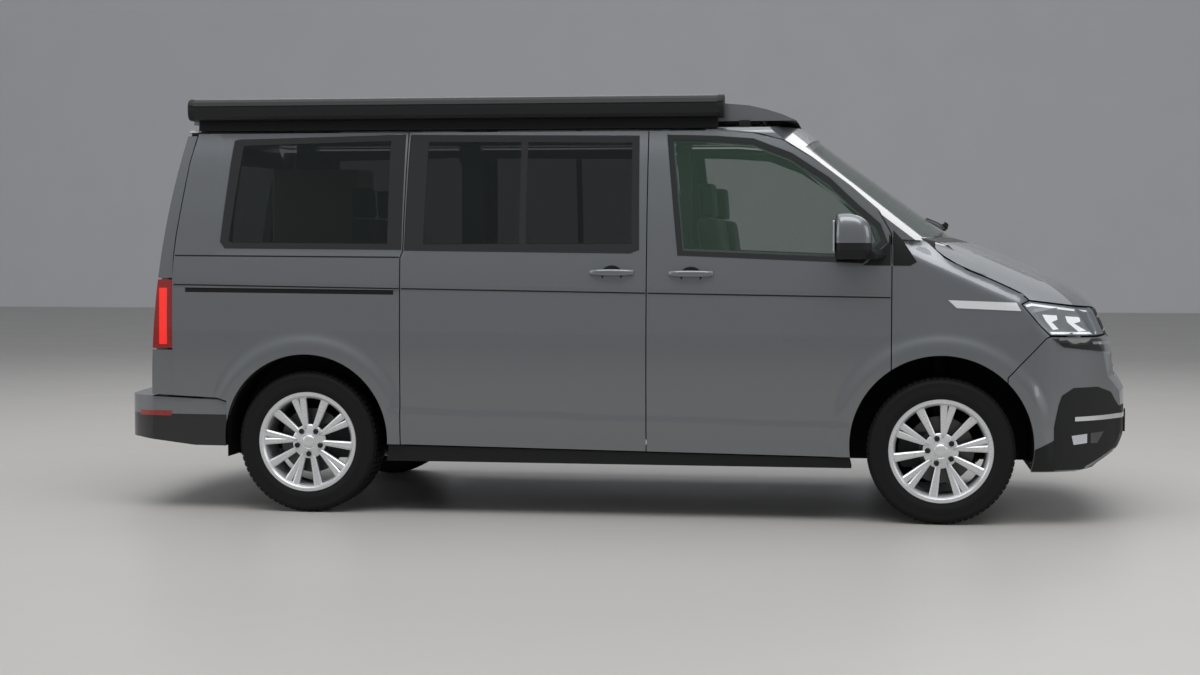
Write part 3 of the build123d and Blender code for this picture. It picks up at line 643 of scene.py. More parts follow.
@dataclass
class Relief:
    """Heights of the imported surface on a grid, with its shut lines closed and its facets smoothed."""

    low: Point
    high: Point
    step: float
    least: Callable[[float, float], float]
    cast: Callable[[float, float], float | None]
    fill_passes: int = 6
    blur_passes: int = 3
    rows: list[list[float | None]] = field(default_factory=list)
    seen: list[list[bool]] = field(default_factory=list)

    # How far from the end of a row a place stays, so that it has a next cell.
    LAST_CELL: ClassVar[float] = 1.001

    def _around(self, i: int, j: int) -> list[float]:
        """Known heights of a cell and its eight neighbours."""
        found = []
        for a in range(max(i - 1, 0), min(i + 2, len(self.rows))):
            found += [v for v in self.rows[a][max(j - 1, 0) : j + 2] if v is not None]
        return found

    def measured(self) -> "Relief":
        """Cast the grid, close its gaps and smooth it.

        Returns:
            The relief itself.
        """
        across = int((self.high[0] - self.low[0]) / self.step) + 1
        up = int((self.high[1] - self.low[1]) / self.step) + 1
        for i in range(across):
            row: list[float | None] = []
            for j in range(up):
                u, v = self.low[0] + i * self.step, self.low[1] + j * self.step
                height = self.cast(u, v)
                row.append(None if height is None or height < self.least(u, v) else height)
            self.rows.append(row)
        self.seen = [[v is not None for v in row] for row in self.rows]
        for _ in range(self.fill_passes):
            self.rows = [
                [v if v is not None else max(self._around(i, j), default=None) for j, v in enumerate(row)]
                for i, row in enumerate(self.rows)
            ]
        for _ in range(self.blur_passes):
            smooth = []
            for i, row in enumerate(self.rows):
                line = []
                for j, v in enumerate(row):
                    near = self._around(i, j)
                    line.append(None if v is None else sum(near) / len(near))
                smooth.append(line)
            self.rows = smooth
        return self

    def value(self, u: float, v: float) -> float | None:
        """Height at a place, or None where the grid has none.

        Args:
            u: First coordinate.
            v: Second coordinate.

        Returns:
            The height.
        """
        a = min(max((u - self.low[0]) / self.step, 0), len(self.rows) - self.LAST_CELL)
        b = min(max((v - self.low[1]) / self.step, 0), len(self.rows[0]) - self.LAST_CELL)
        i, j = int(a), int(b)
        corners = (self.rows[i][j], self.rows[i + 1][j], self.rows[i][j + 1], self.rows[i + 1][j + 1])
        if None in corners:
            return next((c for c in corners if c is not None), None)
        s, t = a - i, b - j
        return (corners[0] * (1 - s) + corners[1] * s) * (1 - t) + (corners[2] * (1 - s) + corners[3] * s) * t

    def covers(self, u: float, v: float) -> bool:
        """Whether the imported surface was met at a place."""
        i = min(max(round((u - self.low[0]) / self.step), 0), len(self.seen) - 1)
        j = min(max(round((v - self.low[1]) / self.step), 0), len(self.seen[0]) - 1)
        return self.seen[i][j]


@dataclass
class VanForm:
    """The van's own lines: heights, half widths and arch places in side view."""

    front_axle: Point = (1542.0, 340.0)
    rear_axle: Point = (-1458.0, 340.0)
    arch_z: float = 365.0
    front_arch: float = 418.0
    rear_arch: float = 398.0
    flare_width: float = 46.0
    flare_ramp: float = 62.0
    flare_depth: float = 14.0
    skin: float = 5.0
    tail_rear_x: float = -2364.0
    tail_radius: float = 4200.0
    tail_bow: float = 3300.0
    tail_middle_z: float = 600.0
    section: Sequence[Point] = (
        (255, 915), (470, 938), (620, 946.5), (800, 949.6), (1000, 946.2), (1100, 942), (1240, 933.4),
        (1420, 916), (1545, 898), (1700, 871), (1838, 836),
    )
    cabin_front_x: float = 1330.0
    line: tuple[Point, Point] = ((-2118, 1097), (1313, 1049))
    line_depth: float = 3.0
    line_ramp: float = 12.0
    line_fade_from: float = 60.0
    line_fade_rate: float = 40.0
    band: tuple[Point, Point] = ((-984, 498), (1081, 456))
    band_span: Point = (-1050, 1120)
    band_depth: float = 5.0
    band_ramp: float = 10.0
    recess: tuple[Point, Point] = ((-1905, -960), (1232, 1822))
    recess_depth: float = 3.0
    recess_ramp: float = 14.0
    fade_x: float = 2120.0
    fade_length: float = 160.0
    nose_sink: float = 3.0
    wing_grid: tuple[Point, Point] = ((1290, 240), (2450, 1400))
    wing_step: float = 10.0
    wing_end_x: float = 1970.0
    wing_least: float = 800.0
    face_least: float = 300.0
    side_ray_y: float = -1400.0
    nose_grid: tuple[Point, Point] = ((80, 240), (870, 1040))
    nose_step: float = 9.0
    nose_least: float = 420.0
    nose_usual: float = 600.0
    nose_ray: float = 1600.0
    sweep_centre: Point = (1750.0, 350.0)
    sweep_radius: float = 650.0
    nose: BVHTree | None = None
    tail_lamp: BVHTree | None = None
    tail_bumper: BVHTree | None = None
    wing_relief: Relief | None = None
    nose_relief: Relief | None = None

    def load_surfaces(self, nodes: dict[str, bpy.types.Object]) -> None:
        """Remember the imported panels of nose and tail, so that skins and trim can lie on them.

        Args:
            nodes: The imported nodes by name.
        """
        self.nose = surface(nodes, ("front_wing_right", "front_bumper", "headlamps", "grille"))
        self.tail_lamp = surface(nodes, ("tail_lamps",))
        self.tail_bumper = surface(nodes, ("rear_bumper",))
        self.wing_relief = Relief(
            *self.wing_grid, self.wing_step, self._least_from_side, self._seen_from_side
        ).measured()
        self.nose_relief = Relief(
            *self.nose_grid, self.nose_step, lambda sweep, z: self.nose_least, self._seen_round_nose
        ).measured()

    def _least_from_side(self, x: float, z: float) -> float:
        """Half width under which a level line has met something inside the nose."""
        return self.wing_least if x < self.wing_end_x else self.face_least

    def _seen_from_side(self, x: float, z: float) -> float | None:
        """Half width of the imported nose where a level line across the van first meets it."""
        hit = self.nose.ray_cast(Vector((x, self.side_ray_y, z)), Vector((0, 1, 0)))[0]
        return None if hit is None else -hit.y

    def _seen_round_nose(self, sweep: float, z: float) -> float | None:
        """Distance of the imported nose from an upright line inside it, by the arc length round that line."""
        angle = sweep / self.sweep_radius
        out = Vector((math.cos(angle), -math.sin(angle), 0))
        start = Vector((self.sweep_centre[0], -self.sweep_centre[1], z)) + out * self.nose_ray
        distance = self.nose.ray_cast(start, -out)[3]
        return None if distance is None else self.nose_ray - distance

    def round_nose(self, sweep: float, z: float, proud: float) -> tuple[float, float, float]:
        """Place over the nose's skin, right round its corner.

        Args:
            sweep: Arc length round the upright line, from straight ahead.
            z: The height.
            proud: How far out from the surface.

        Returns:
            X, distance from the middle, and Z.
        """
        angle = sweep / self.sweep_radius
        reach = (self.nose_relief.value(sweep, z) or self.nose_usual) + proud
        return (
            self.sweep_centre[0] + reach * math.cos(angle), self.sweep_centre[1] + reach * math.sin(angle), z,
        )

    def cabin_y(self, z: float) -> float:
        """Half width of the cabin's side at a height, by a smooth curve through its section.

        Args:
            z: The height.

        Returns:
            The half width.
        """
        rows = self.section
        z = min(max(z, rows[0][0]), rows[-1][0])
        i = next(k for k in range(len(rows) - 1) if z <= rows[k + 1][0])
        (z0, y0), (z1, y1) = rows[i], rows[i + 1]
        before, after = rows[max(i - 1, 0)], rows[min(i + 2, len(rows) - 1)]
        slope0 = (y1 - before[1]) / (z1 - before[0])
        slope1 = (after[1] - y0) / (after[0] - z0)
        run = z1 - z0
        t = (z - z0) / run
        return (
            (2 * t**3 - 3 * t**2 + 1) * y0 + (t**3 - 2 * t**2 + t) * run * slope0
            + (-2 * t**3 + 3 * t**2) * y1 + (t**3 - t**2) * run * slope1
        )

    def panel_y(self, x: float, z: float) -> float:
        """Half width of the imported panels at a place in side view.

        Args:
            x: Its X.
            z: Its height.

        Returns:
            The half width.
        """
        if x < self.cabin_front_x or self.wing_relief is None:
            return self.cabin_y(z)
        return self.wing_relief.value(x, z) or self.cabin_y(z)

    def flare(self, x: float, z: float) -> float:
        """How far a wheel arch stands out.

        Args:
            x: X of the place.
            z: Its height.

        Returns:
            The height of the flare.
        """
        best = 0.0
        for (cx, _), radius in ((self.front_axle, self.front_arch), (self.rear_axle, self.rear_arch)):
            away = math.hypot(x - cx, z - self.arch_z) - radius
            if away < self.flare_width + self.flare_ramp:
                edge = min(1.0, max(0.0, (self.flare_width + self.flare_ramp - away) / self.flare_ramp))
                best = max(best, self.flare_depth * edge * edge * (3 - 2 * edge))
        return best

    def detail(self, x: float, z: float) -> float:
        """Pressed lines: the character line, the lower swage and the shallow recess of the rear window.

        Args:
            x: X of the place.
            z: Its height.

        Returns:
            How far the skin stands out there.
        """
        out = 0.0
        if x < self.cabin_front_x:
            above = z - height_on(self.line, x)
            if above < self.line_fade_from:
                out += self.line_depth * min(1.0, max(0.0, (above + self.line_ramp / 2) / self.line_ramp))
            else:
                fade = (above - self.line_fade_from) / self.line_fade_rate
                out += self.line_depth - min(self.line_depth, fade)
        if self.band_span[0] < x < self.band_span[1]:
            below = height_on(self.band, x) - z
            out += self.band_depth * min(1.0, max(0.0, (below + self.band_ramp / 2) / self.band_ramp))
        (rear_x, front_x), (low_z, high_z) = self.recess
        outside = max(rear_x - x, x - front_x, low_z - z, z - high_z)
        if outside < 0:
            out -= self.recess_depth * min(1.0, -outside / self.recess_ramp)
        return out

    def tail_x(self, y: float, z: float) -> float:
        """X of the tail's surface at a place.

        Args:
            y: Its distance from the middle.
            z: Its height.

        Returns:
            The X.
        """
        drop = math.sqrt(self.tail_radius**2 - (z - self.tail_middle_z) ** 2)
        middle = self.tail_rear_x + self.tail_radius - drop
        centre = self.tail_rear_x + self.tail_bow
        return centre - math.sqrt((centre - middle) ** 2 - y**2)

    def skin_y(self, x: float, z: float) -> float:
        """Half width of the outer skin at a place in side view."""
        return self.panel_y(x, z) + self.skin + self.flare(x, z) + self.detail(x, z)

    def nose_skin_y(self, x: float, z: float) -> float:
        """Half width of the bumper's side skin, which sinks into the bumper further forward."""
        fade = min(1.0, max(0.0, (self.fade_x - x) / self.fade_length))
        sunk = self.nose_sink
        return self.panel_y(x, z) - sunk + (self.skin + sunk + self.flare(x, z)) * fade


FORM = VanForm()


@dataclass
class SkinPanel:
    """One outer skin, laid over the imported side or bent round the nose."""

    name: str
    body: str
    outline: Outline
    holes: Sequence[Outline] = ()
    gap: float = 2.6
    hem: float = 7.0
    step: float = 14.0
    height: Callable[[float, float], float] = field(default=lambda x, z: FORM.skin_y(x, z))
    finish: Finish = PAINT
    slot: str = "body_paint"
    swept: float | None = None
    covers: Callable[[float, float], bool] | None = None

    # A point inside the van, in metres, that outer faces look away from.
    CORE: ClassVar[Vector] = Vector((1.0, 0.0, 0.8))
    CREASE: ClassVar[float] = 38.0

    def _spot(self, u: float, v: float, sunk: float) -> tuple[float, float, float]:
        """Place of a point of the flat outline on the van: X, distance from the middle, and Z."""
        if self.swept is not None:
            return FORM.round_nose(u, v, self.swept - sunk)
        return (u, self.height(u, v) - sunk, v)

    def build(self, side: Side) -> bpy.types.Object:
        """Make the panel on one side.

        Args:
            side: The side.

        Returns:
            The piece.
        """
        points, faces = sheet(inset(self.outline, self.gap), self.holes, self.step)
        if self.covers:
            faces = [f for f in faces if all(self.covers(*points[i]) for i in f)]
        rim = rim_edges(faces)
        used = sorted({i for face in faces for i in face})
        number = {old: new for new, old in enumerate(used)}
        sunk = {old: len(used) + new for new, old in enumerate(sorted({i for edge in rim for i in edge}))}
        spots = [self._spot(*points[i], 0.0) for i in used] + [self._spot(*points[i], self.hem) for i in sunk]
        shape = Shape()
        shape.add(
            [(x, side.value * y, z) for x, y, z in spots],
            [*[tuple(number[i] for i in face) for face in faces],
             *[(number[two], number[one], sunk[one], sunk[two]) for one, two in rim]],
        )
        made = shape.object(f"{self.name}_{side.word}")
        mesh = made.data
        outward = sum(f.normal.dot(f.center - self.CORE) * f.area for f in mesh.polygons)
        if outward < 0:
            mesh.flip_normals()
        smoothed(made, self.CREASE)
        return place(made, self.finish, self.body.format(side=side.word))


@dataclass
class BodySide:
    """Painted skins, seams, arch liners and the sliding door's rail, with the windows' outlines."""

    door: Outline = (
        (181, 1824), (493, 1824), (672, 1810), (806, 1777), (939, 1696), (1117, 1562), (1249, 1447),
        (1293, 1368), (1308, 1342), (1313, 1195), (1313, 303), (181, 318),
    )
    door_window: Outline = (
        (266, 1804), (494, 1797), (673, 1783), (850, 1714), (1028, 1598), (1160, 1473), (1262, 1385),
        (1296, 1298), (1181, 1201), (325, 1235),
    )
    sliding: Outline = ((181, 1824), (181, 318), (-996, 334), (-996, 1225), (-984, 1256), (-972, 1824))
    sliding_window: Outline = ((-962, 1812), (138, 1800), (148, 1262), (104, 1244), (-978, 1256))
    quarter: Outline = (
        (-972, 1824), (-984, 1256), (-996, 1225), (-996, 334), (-1852, 334), (-1852, 534), (-1893, 547),
        (-2119, 557), (-2122, 783), (-2122, 1122), (-2115, 1235),
        (-2105, 1325), (-2050, 1683), (-2018, 1815), (-2018, 1824),
    )
    quarter_window: Outline = (
        (-1835, 1790), (-1887, 1298), (-1862, 1266), (-989, 1260), (-984, 1816), (-1805, 1796),
    )
    rail: Outline = ((-2056, 1058), (-994, 1049), (-994, 1071), (-2056, 1080))
    rail_line: tuple[Point, Point] = ((-2056, 1069), (-994, 1060))
    rail_stations: tuple[int, int, int] = (-2054, -990, 38)
    rail_half: float = 13.5
    rail_proud: float = 1.2
    rail_depth: float = 4.0
    rail_root_half: float = 14.0
    liner_inner_y: float = 498.0
    liner_outer_y: float = 904.0
    liner_foot_z: float = 262.0
    liner_clearance: float = 4.0
    liner_wall: float = 2.5
    liner_steps: int = 36
    seam_proud: float = 1.7
    seam_root: float = 3.0
    seam_taper: float = 0.9
    seam_step: float = 20.0
    upper_seam: Outline = ((-2108, 1234), (-1002, 1227))
    upper_seam_width: float = 6.5
    line_width: float = 7.0
    line_drop: float = 3.0
    wing: Outline = (
        (1313, 1340), (1356, 1309), (1470, 1304), (1483, 1294), (1551, 1230), (1649, 1176), (1746, 1137),
        (1843, 1093), (1901, 1064), (1931, 1035), (1897, 1020), (1980, 922), (2029, 873), (2010, 863),
        (1838, 684), (1838, 365), (1313, 365),
    )
    bumper_side: Outline = ((1838, 250), (1838, 684), (2010, 863), (2029, 870), (2160, 866), (2160, 250))

    # Stretches of painted shade in the character line's crease: name, rear and front end, and body.
    LINES: ClassVar[tuple] = (
        ("line_rear", -2112, -1000, "body"), ("line_mid", -990, 176, "body"),
        ("line_door", 187, 1308, "door_{side}"),
    )

    def build(self) -> None:
        """Make every skin on both sides."""
        front = circle((FORM.front_axle[0], FORM.arch_z), FORM.front_arch)
        rear = circle((FORM.rear_axle[0], FORM.arch_z), FORM.rear_arch)
        arches = (("front", FORM.front_axle[0], FORM.front_arch), ("rear", FORM.rear_axle[0], FORM.rear_arch))
        for side in Side:
            SkinPanel("door_skin", "door_{side}", self.door, [self.door_window, front]).build(side)
            SkinPanel("wing_skin", "body", self.wing, [front], step=12).build(side)
            SkinPanel(
                "bumper_skin", "body", self.bumper_side, [front], step=14, height=FORM.nose_skin_y
            ).build(side)
            SkinPanel("mid_skin", "body", self.sliding, [self.sliding_window]).build(side)
            holes = [self.quarter_window, rear] + ([self.rail] if side is Side.RIGHT else [])
            SkinPanel("quarter_skin", "body", self.quarter, holes, step=13).build(side)
            self.lines(side)
            for place_name, x, radius in arches:
                self.arch_liner(place_name, x, radius + self.liner_clearance, side)
        self.sliding_rail()

    def arch_liner(self, place_name: str, x: float, radius: float, side: Side) -> None:
        """Black liner inside a wheel arch, down to the sill on both sides of the wheel.

        Args:
            place_name: Which arch.
            x: X of the axle.
            radius: Its radius.
            side: The side.
        """
        arc = [math.pi * k / self.liner_steps for k in range(self.liner_steps + 1)]
        path = [(x + radius * math.cos(a), FORM.arch_z + radius * math.sin(a)) for a in arc]
        path = [(x + radius, self.liner_foot_z), *path, (x - radius, self.liner_foot_z)]
        rings = [[(u, side.value * y, v) for u, v in path] for y in (self.liner_inner_y, self.liner_outer_y)]
        shape = Shape()
        shape.loft(rings, closed=False, capped=False)
        shape.add(rings[0], [tuple(range(len(path)))])
        made = shape.object(f"arch_liner_{place_name}_{side.word}", outward=False)
        wall = made.modifiers.new("wall", "SOLIDIFY")
        wall.thickness = self.liner_wall * MM
        wall.offset = 0
        baked(made)
        smoothed(made, 40)
        place(made, UNDERSEAL, "body")

    def strip(self, name: str, path: Outline, width: float, side: Side, body: str) -> None:
        """Lay a narrow strip of painted shade on the skin along a straight path.

        Args:
            name: The piece's name.
            path: Its two ends in side view.
            width: Its width.
            side: The side.
            body: The body it moves with.
        """
        there_and_back = divided(path, self.seam_step)
        steps = there_and_back[: len(there_and_back) // 2 + 1]
        shape = Shape()
        rings = []
        for i, (x, z) in enumerate(steps):
            a, b = steps[max(i - 1, 0)], steps[min(i + 1, len(steps) - 1)]
            along = Vector((b[0] - a[0], b[1] - a[1])).normalized()
            nx, nz = -along.y * width / 2, along.x * width / 2
            top = FORM.skin_y(x, z) + self.seam_proud
            low = top - self.seam_proud - self.seam_root
            corners = ((1.0, low), (self.seam_taper, top), (-self.seam_taper, top), (-1.0, low))
            rings.append([(x + nx * share, side.value * y, z + nz * share) for share, y in corners])
        shape.loft(rings)
        made = shape.object(f"{name}_{side.word}")
        smoothed(made)
        # The strip's near-black is painted shade in the seam.
        place(made, SLOT_SHADE, body)

    def lines(self, side: Side) -> None:
        """Lay painted shade along the seams and the crease that are too fine for the skin's own mesh.

        Args:
            side: The side.
        """
        self.strip("upper_seam", self.upper_seam, self.upper_seam_width, side, "body")
        for name, rear_x, front_x, body in self.LINES:
            path = [(x, height_on(FORM.line, x) - self.line_drop) for x in (rear_x, front_x)]
            self.strip(name, path, self.line_width, side, body.format(side=side.word))

    def sliding_rail(self) -> None:
        """Make the rail of the sliding door, sunk in its slot, near-black for the rail and for the painted
        shade in the slot.
        """
        shape = Shape()
        rings = []
        root, half = self.rail_root_half, self.rail_half
        for x in range(*self.rail_stations):
            z = height_on(self.rail_line, x)
            y = -(FORM.cabin_y(z) + self.rail_proud)
            deep = y + self.rail_depth
            rings.append([(x, deep, z - root), (x, y, z - half), (x, y, z + half), (x, deep, z + root)])
        shape.loft(rings)
        place(shape.object("sliding_rail"), SLOT_SHADE, "body")


@dataclass
class Pane:
    """One side window: a glass sheet with its fired black band."""

    name: str
    body: str
    outline: Outline
    sight: Sequence[Outline]
    glass: Finish
    proud: float = 1.6
    thickness: float = 4.0
    step: float = 40.0
    edge_gap: float = 2.5
    glass_deep: float = 0.6

    def _skin(
        self, name: str, outline: Outline, holes: Sequence[Outline], side: Side, deep: float
    ) -> bpy.types.Object:
        """A closed sheet that follows the cabin's side.

        Args:
            name: The object's name.
            outline: Its edge.
            holes: What is left open.
            side: The side.
            deep: How far its face lies below the band's face.

        Returns:
            The object.
        """
        points, faces = sheet(outline, holes, self.step)
        top = [(x, side.value * (FORM.cabin_y(z) + self.proud - deep), z) for x, z in points]
        low = [(x, y - side.value * self.thickness, z) for x, y, z in top]
        count = len(points)
        shape = Shape()
        shape.add(
            [*top, *low],
            [*faces, *[tuple(reversed([i + count for i in f])) for f in faces],
             *[(b, a, a + count, b + count) for a, b in rim_edges(faces)]],
        )
        made = shape.object(name)
        work = bmesh.new()
        work.from_mesh(made.data)
        bmesh.ops.delete(work, geom=[v for v in work.verts if not v.link_faces], context="VERTS")
        work.to_mesh(made.data)
        work.free()
        smoothed(made, 30)
        return made

    def build(self, side: Side, nodes: Sequence[str]) -> None:
        """Make the band and the glass.

        Args:
            side: The side.
            nodes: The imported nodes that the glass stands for.
        """
        body = self.body.format(side=side.word)
        edge = inset(self.outline, self.edge_gap)
        band = self._skin(f"{self.name}_band_{side.word}", edge, self.sight, side, 0)
        place(band, FRIT, body)
        for i, outline in enumerate(self.sight):
            part = self._skin(f"{self.name}_glass_{i}_{side.word}", outline, [], side, self.glass_deep)
            place(part, self.glass, body, nodes if i == 0 else ())


@dataclass
class Glazing:
    """All side windows, with what their black bands leave clear."""

    side: BodySide
    door_band: float = 26.0

    MID_SIGHTS: ClassVar[tuple[Outline, ...]] = (
        ((-872, 1776), (-424, 1772), (-424, 1290), (-886, 1288)),
        ((-392, 1772), (104, 1766), (110, 1292), (-392, 1290)),
    )
    REAR_SIGHT: ClassVar[Outline] = (
        (-1786, 1762), (-1842, 1306), (-1826, 1296), (-1060, 1290), (-1058, 1782), (-1768, 1764),
    )

    def build(self) -> None:
        """Make the windows of both sides, with the left side's two rear panes as one node."""
        door_sight = inset(self.side.door_window, self.door_band)
        door = Pane("door_window", "door_{side}", self.side.door_window, [door_sight], CLEAR_GLASS)
        middle = Pane("mid_window", "body", self.side.sliding_window, self.MID_SIGHTS, PRIVACY_GLASS)
        rear = Pane("rear_window", "body", self.side.quarter_window, [self.REAR_SIGHT], PRIVACY_GLASS)
        for side in Side:
            right = side is Side.RIGHT
            door.build(side, [f"front_door_glass_{side.word}"])
            middle.build(side, ["sliding_door_glass"] if right else ["side_glass_left"])
            rear.build(side, ["quarter_glass_right"] if right else [])


@dataclass
class Handles:
    """Pull handles of the doors, each a bar over a dished cup."""

    length: float = 205.0
    rise: float = 24.8
    flatness: float = 3.2
    bar_above: float = 8.0
    bar_half_height: float = 15.5
    bar_taper: float = 3.0
    bar_half_thickness: float = 7.5
    bar_swell: float = 3.0
    bar_steps: int = 24
    bar_sides: int = 16
    cup_sides: int = 40
    cup_drop: float = 2.0
    cup_wall: float = 5.0
    cup_stretch: Point = (1.02, 0.86)

    # Rings of the cup: radius, and height over the skin.
    CUP: ClassVar[Outline] = ((50, 1.0), (46, 1.6), (38, 0.6), (20, 0.4))

    def one(self, name: str, x: float, z: float, side: Side, body: str) -> None:
        """Make one handle.

        Args:
            name: The piece's name.
            x: X of its middle.
            z: Its height.
            side: The side.
            body: The body it moves with.
        """
        face = FORM.skin_y(x, z)
        wide, high = self.cup_stretch
        cup = Shape()
        rings = []
        for radius, over in self.CUP:
            rings.append([
                (x + radius * wide * math.cos(a), side.value * (face + over),
                 z - self.cup_drop + radius * high * math.sin(a))
                for a in [i * math.tau / self.cup_sides for i in range(self.cup_sides)]
            ])
        cup.loft([[(p[0], p[1] - side.value * self.cup_wall, p[2]) for p in rings[0]], *rings])
        dish = cup.object(f"{name}_cup_{side.word}")
        smoothed(dish, 50)
        place(dish, TRIM, body)
        bar = Shape()
        rings = []
        for i in range(self.bar_steps + 1):
            t = i / self.bar_steps * 2 - 1
            middle = face + self.rise * (1 - abs(t) ** self.flatness)
            tall = self.bar_half_height - self.bar_taper * abs(t) ** 2
            thick = self.bar_half_thickness + self.bar_swell * abs(t) ** 4
            rings.append([
                (x + t * self.length / 2, side.value * (middle + thick * math.cos(a)),
                 z + self.bar_above + tall * math.sin(a))
                for a in [k * math.tau / self.bar_sides for k in range(self.bar_sides)]
            ])
        bar.loft(rings)
        grip = bar.object(f"{name}_bar_{side.word}")
        smoothed(grip, 50)
        place(grip, PAINT, body)

    def build(self) -> None:
        """Make the three handles that such a van has."""
        self.one("sliding_handle", 19, 1150, Side.RIGHT, "body")
        for side in Side:
            self.one("door_handle", 390, 1145, side, f"door_{side.word}")


@dataclass
class Mirrors:
    """Door mirrors: painted cap over a black base and arm, with the glass behind."""

    tip_y: float = 1146.0
    inner_y: float = 985.0
    low_z: float = 1222.0
    high_z: float = 1428.0
    split_z: Point = (1296.0, 1300.0)
    base_inset: float = 1.5
    middle_x: float = 1114.0
    rear_reach: float = 62.0
    front_reach: float = 108.0
    roundness: float = 0.6
    sides: int = 36
    steps: int = 16
    arm_z: float = 1244.0
    glass_x: Point = (1046.0, 1054.0)
    glass_y: Point = (1004.0, 1130.0)
    glass_z: Point = (1258.0, 1396.0)
    trim_thickness: float = 9.0

    ARM_SECTION: ClassVar[Outline] = ((-60, -20), (62, -24), (70, 4), (40, 26), (-50, 28))
    CORNER: ClassVar[Outline] = ((1318, 1356), (1362, 1307), (1426, 1210), (1396, 1193), (1318, 1193))
    SAIL: ClassVar[Outline] = (
        (1200, 1207), (1298, 1300), (1300, 1340), (1307, 1322), (1307, 1193), (1180, 1193),
    )

    def shell(self, side: Side, low: float, high: float, shrink: float) -> Shape:
        """Rounded housing between two heights.

        Args:
            side: The side.
            low: Its lowest height.
            high: Its highest height.
            shrink: How far it stays inside the base form.

        Returns:
            The shape.
        """
        shape = Shape()
        rings = []
        middle_y = (self.tip_y + self.inner_y) / 2
        for k in range(self.steps + 1):
            z = low + (high - low) * k / self.steps
            t = (z - self.low_z) / (self.high_z - self.low_z)
            foot = min(1.0, 0.72 + t * 1.4)
            dome = (1 - max(0.0, (t - 0.45) / 0.55) ** 2.6) ** 0.5
            full = max(0.12, foot * dome)
            half_y = (self.tip_y - self.inner_y) / 2 * (0.45 + 0.55 * full) - shrink
            rear, front = self.rear_reach * (0.8 + 0.2 * full) - shrink, self.front_reach * full - shrink
            ring = []
            for i in range(self.sides):
                a = i * math.tau / self.sides
                dx, dy = squared(a, self.roundness)
                reach = front if dx > 0 else rear
                ring.append((self.middle_x + dx * reach, side.value * (middle_y + dy * half_y), z))
            rings.append(ring)
        shape.loft(rings)
        return shape

    def build(self) -> None:
        """Make both mirrors."""
        for side in Side:
            body = f"door_{side.word}"
            cap_z, base_z = self.split_z
            base = self.shell(side, self.low_z, base_z, self.base_inset).object(f"mirror_base_{side.word}")
            smoothed(base, 50)
            place(base, TRIM, body, [f"mirror_{side.word}"])
            cap = self.shell(side, cap_z, self.high_z, 0).object(f"mirror_cap_{side.word}")
            smoothed(cap, 50)
            place(cap, PAINT, body)
            self.arm(side, body)
            self.glass(side, body)
            self.flat_trim("mirror_corner", self.CORNER, 2.5, side, "body")
            self.flat_trim("mirror_sail", self.SAIL, 2, side, body)

    def arm(self, side: Side, body: str) -> None:
        """Black arm from the door to the housing.

        Args:
            side: The side.
            body: The body it moves with.
        """
        inner, outer = FORM.cabin_y(1250) + 1, self.inner_y + 14
        shape = Shape()
        shape.loft([
            [(x + dx * wide, side.value * y, self.arm_z + dz) for dx, dz in self.ARM_SECTION]
            for x, y, wide in ((1226, inner, 1.0), (1205, (inner + outer) / 2, 0.95), (1180, outer, 0.95))
        ])
        made = shape.object(f"mirror_arm_{side.word}")
        bevelled(made, 9, 3)
        smoothed(made, 50)
        place(made, TRIM, body)

    def glass(self, side: Side, body: str) -> None:
        """Mirror glass in the housing's rear face.

        Args:
            side: The side.
            body: The body it moves with.
        """
        low_y, high_y = sorted(side.value * y for y in self.glass_y)
        low, high = ((self.glass_x[k], y, self.glass_z[k]) for k, y in enumerate((low_y, high_y)))
        boxed(f"mirror_glass_{side.word}", low, high, 1.5, CHROME, body)

    def flat_trim(self, name: str, outline: Outline, rounding: float, side: Side, body: str) -> None:
        """Black triangle on the cabin's side in front of the window.

        Args:
            name: The piece's name.
            outline: Its edge in side view.
            rounding: Width of its rounded edge.
            side: The side.
            body: The body it moves with.
        """
        thick = self.trim_thickness
        outer = [(x, side.value * (FORM.cabin_y(z) + thick), z) for x, z in outline]
        shape = Shape()
        shape.loft([[(x, y - side.value * thick, z) for x, y, z in outer], outer])
        made = shape.object(f"{name}_{side.word}")
        bevelled(made, rounding)
        if body == "body":
            smoothed(made)
        place(made, TRIM, body)


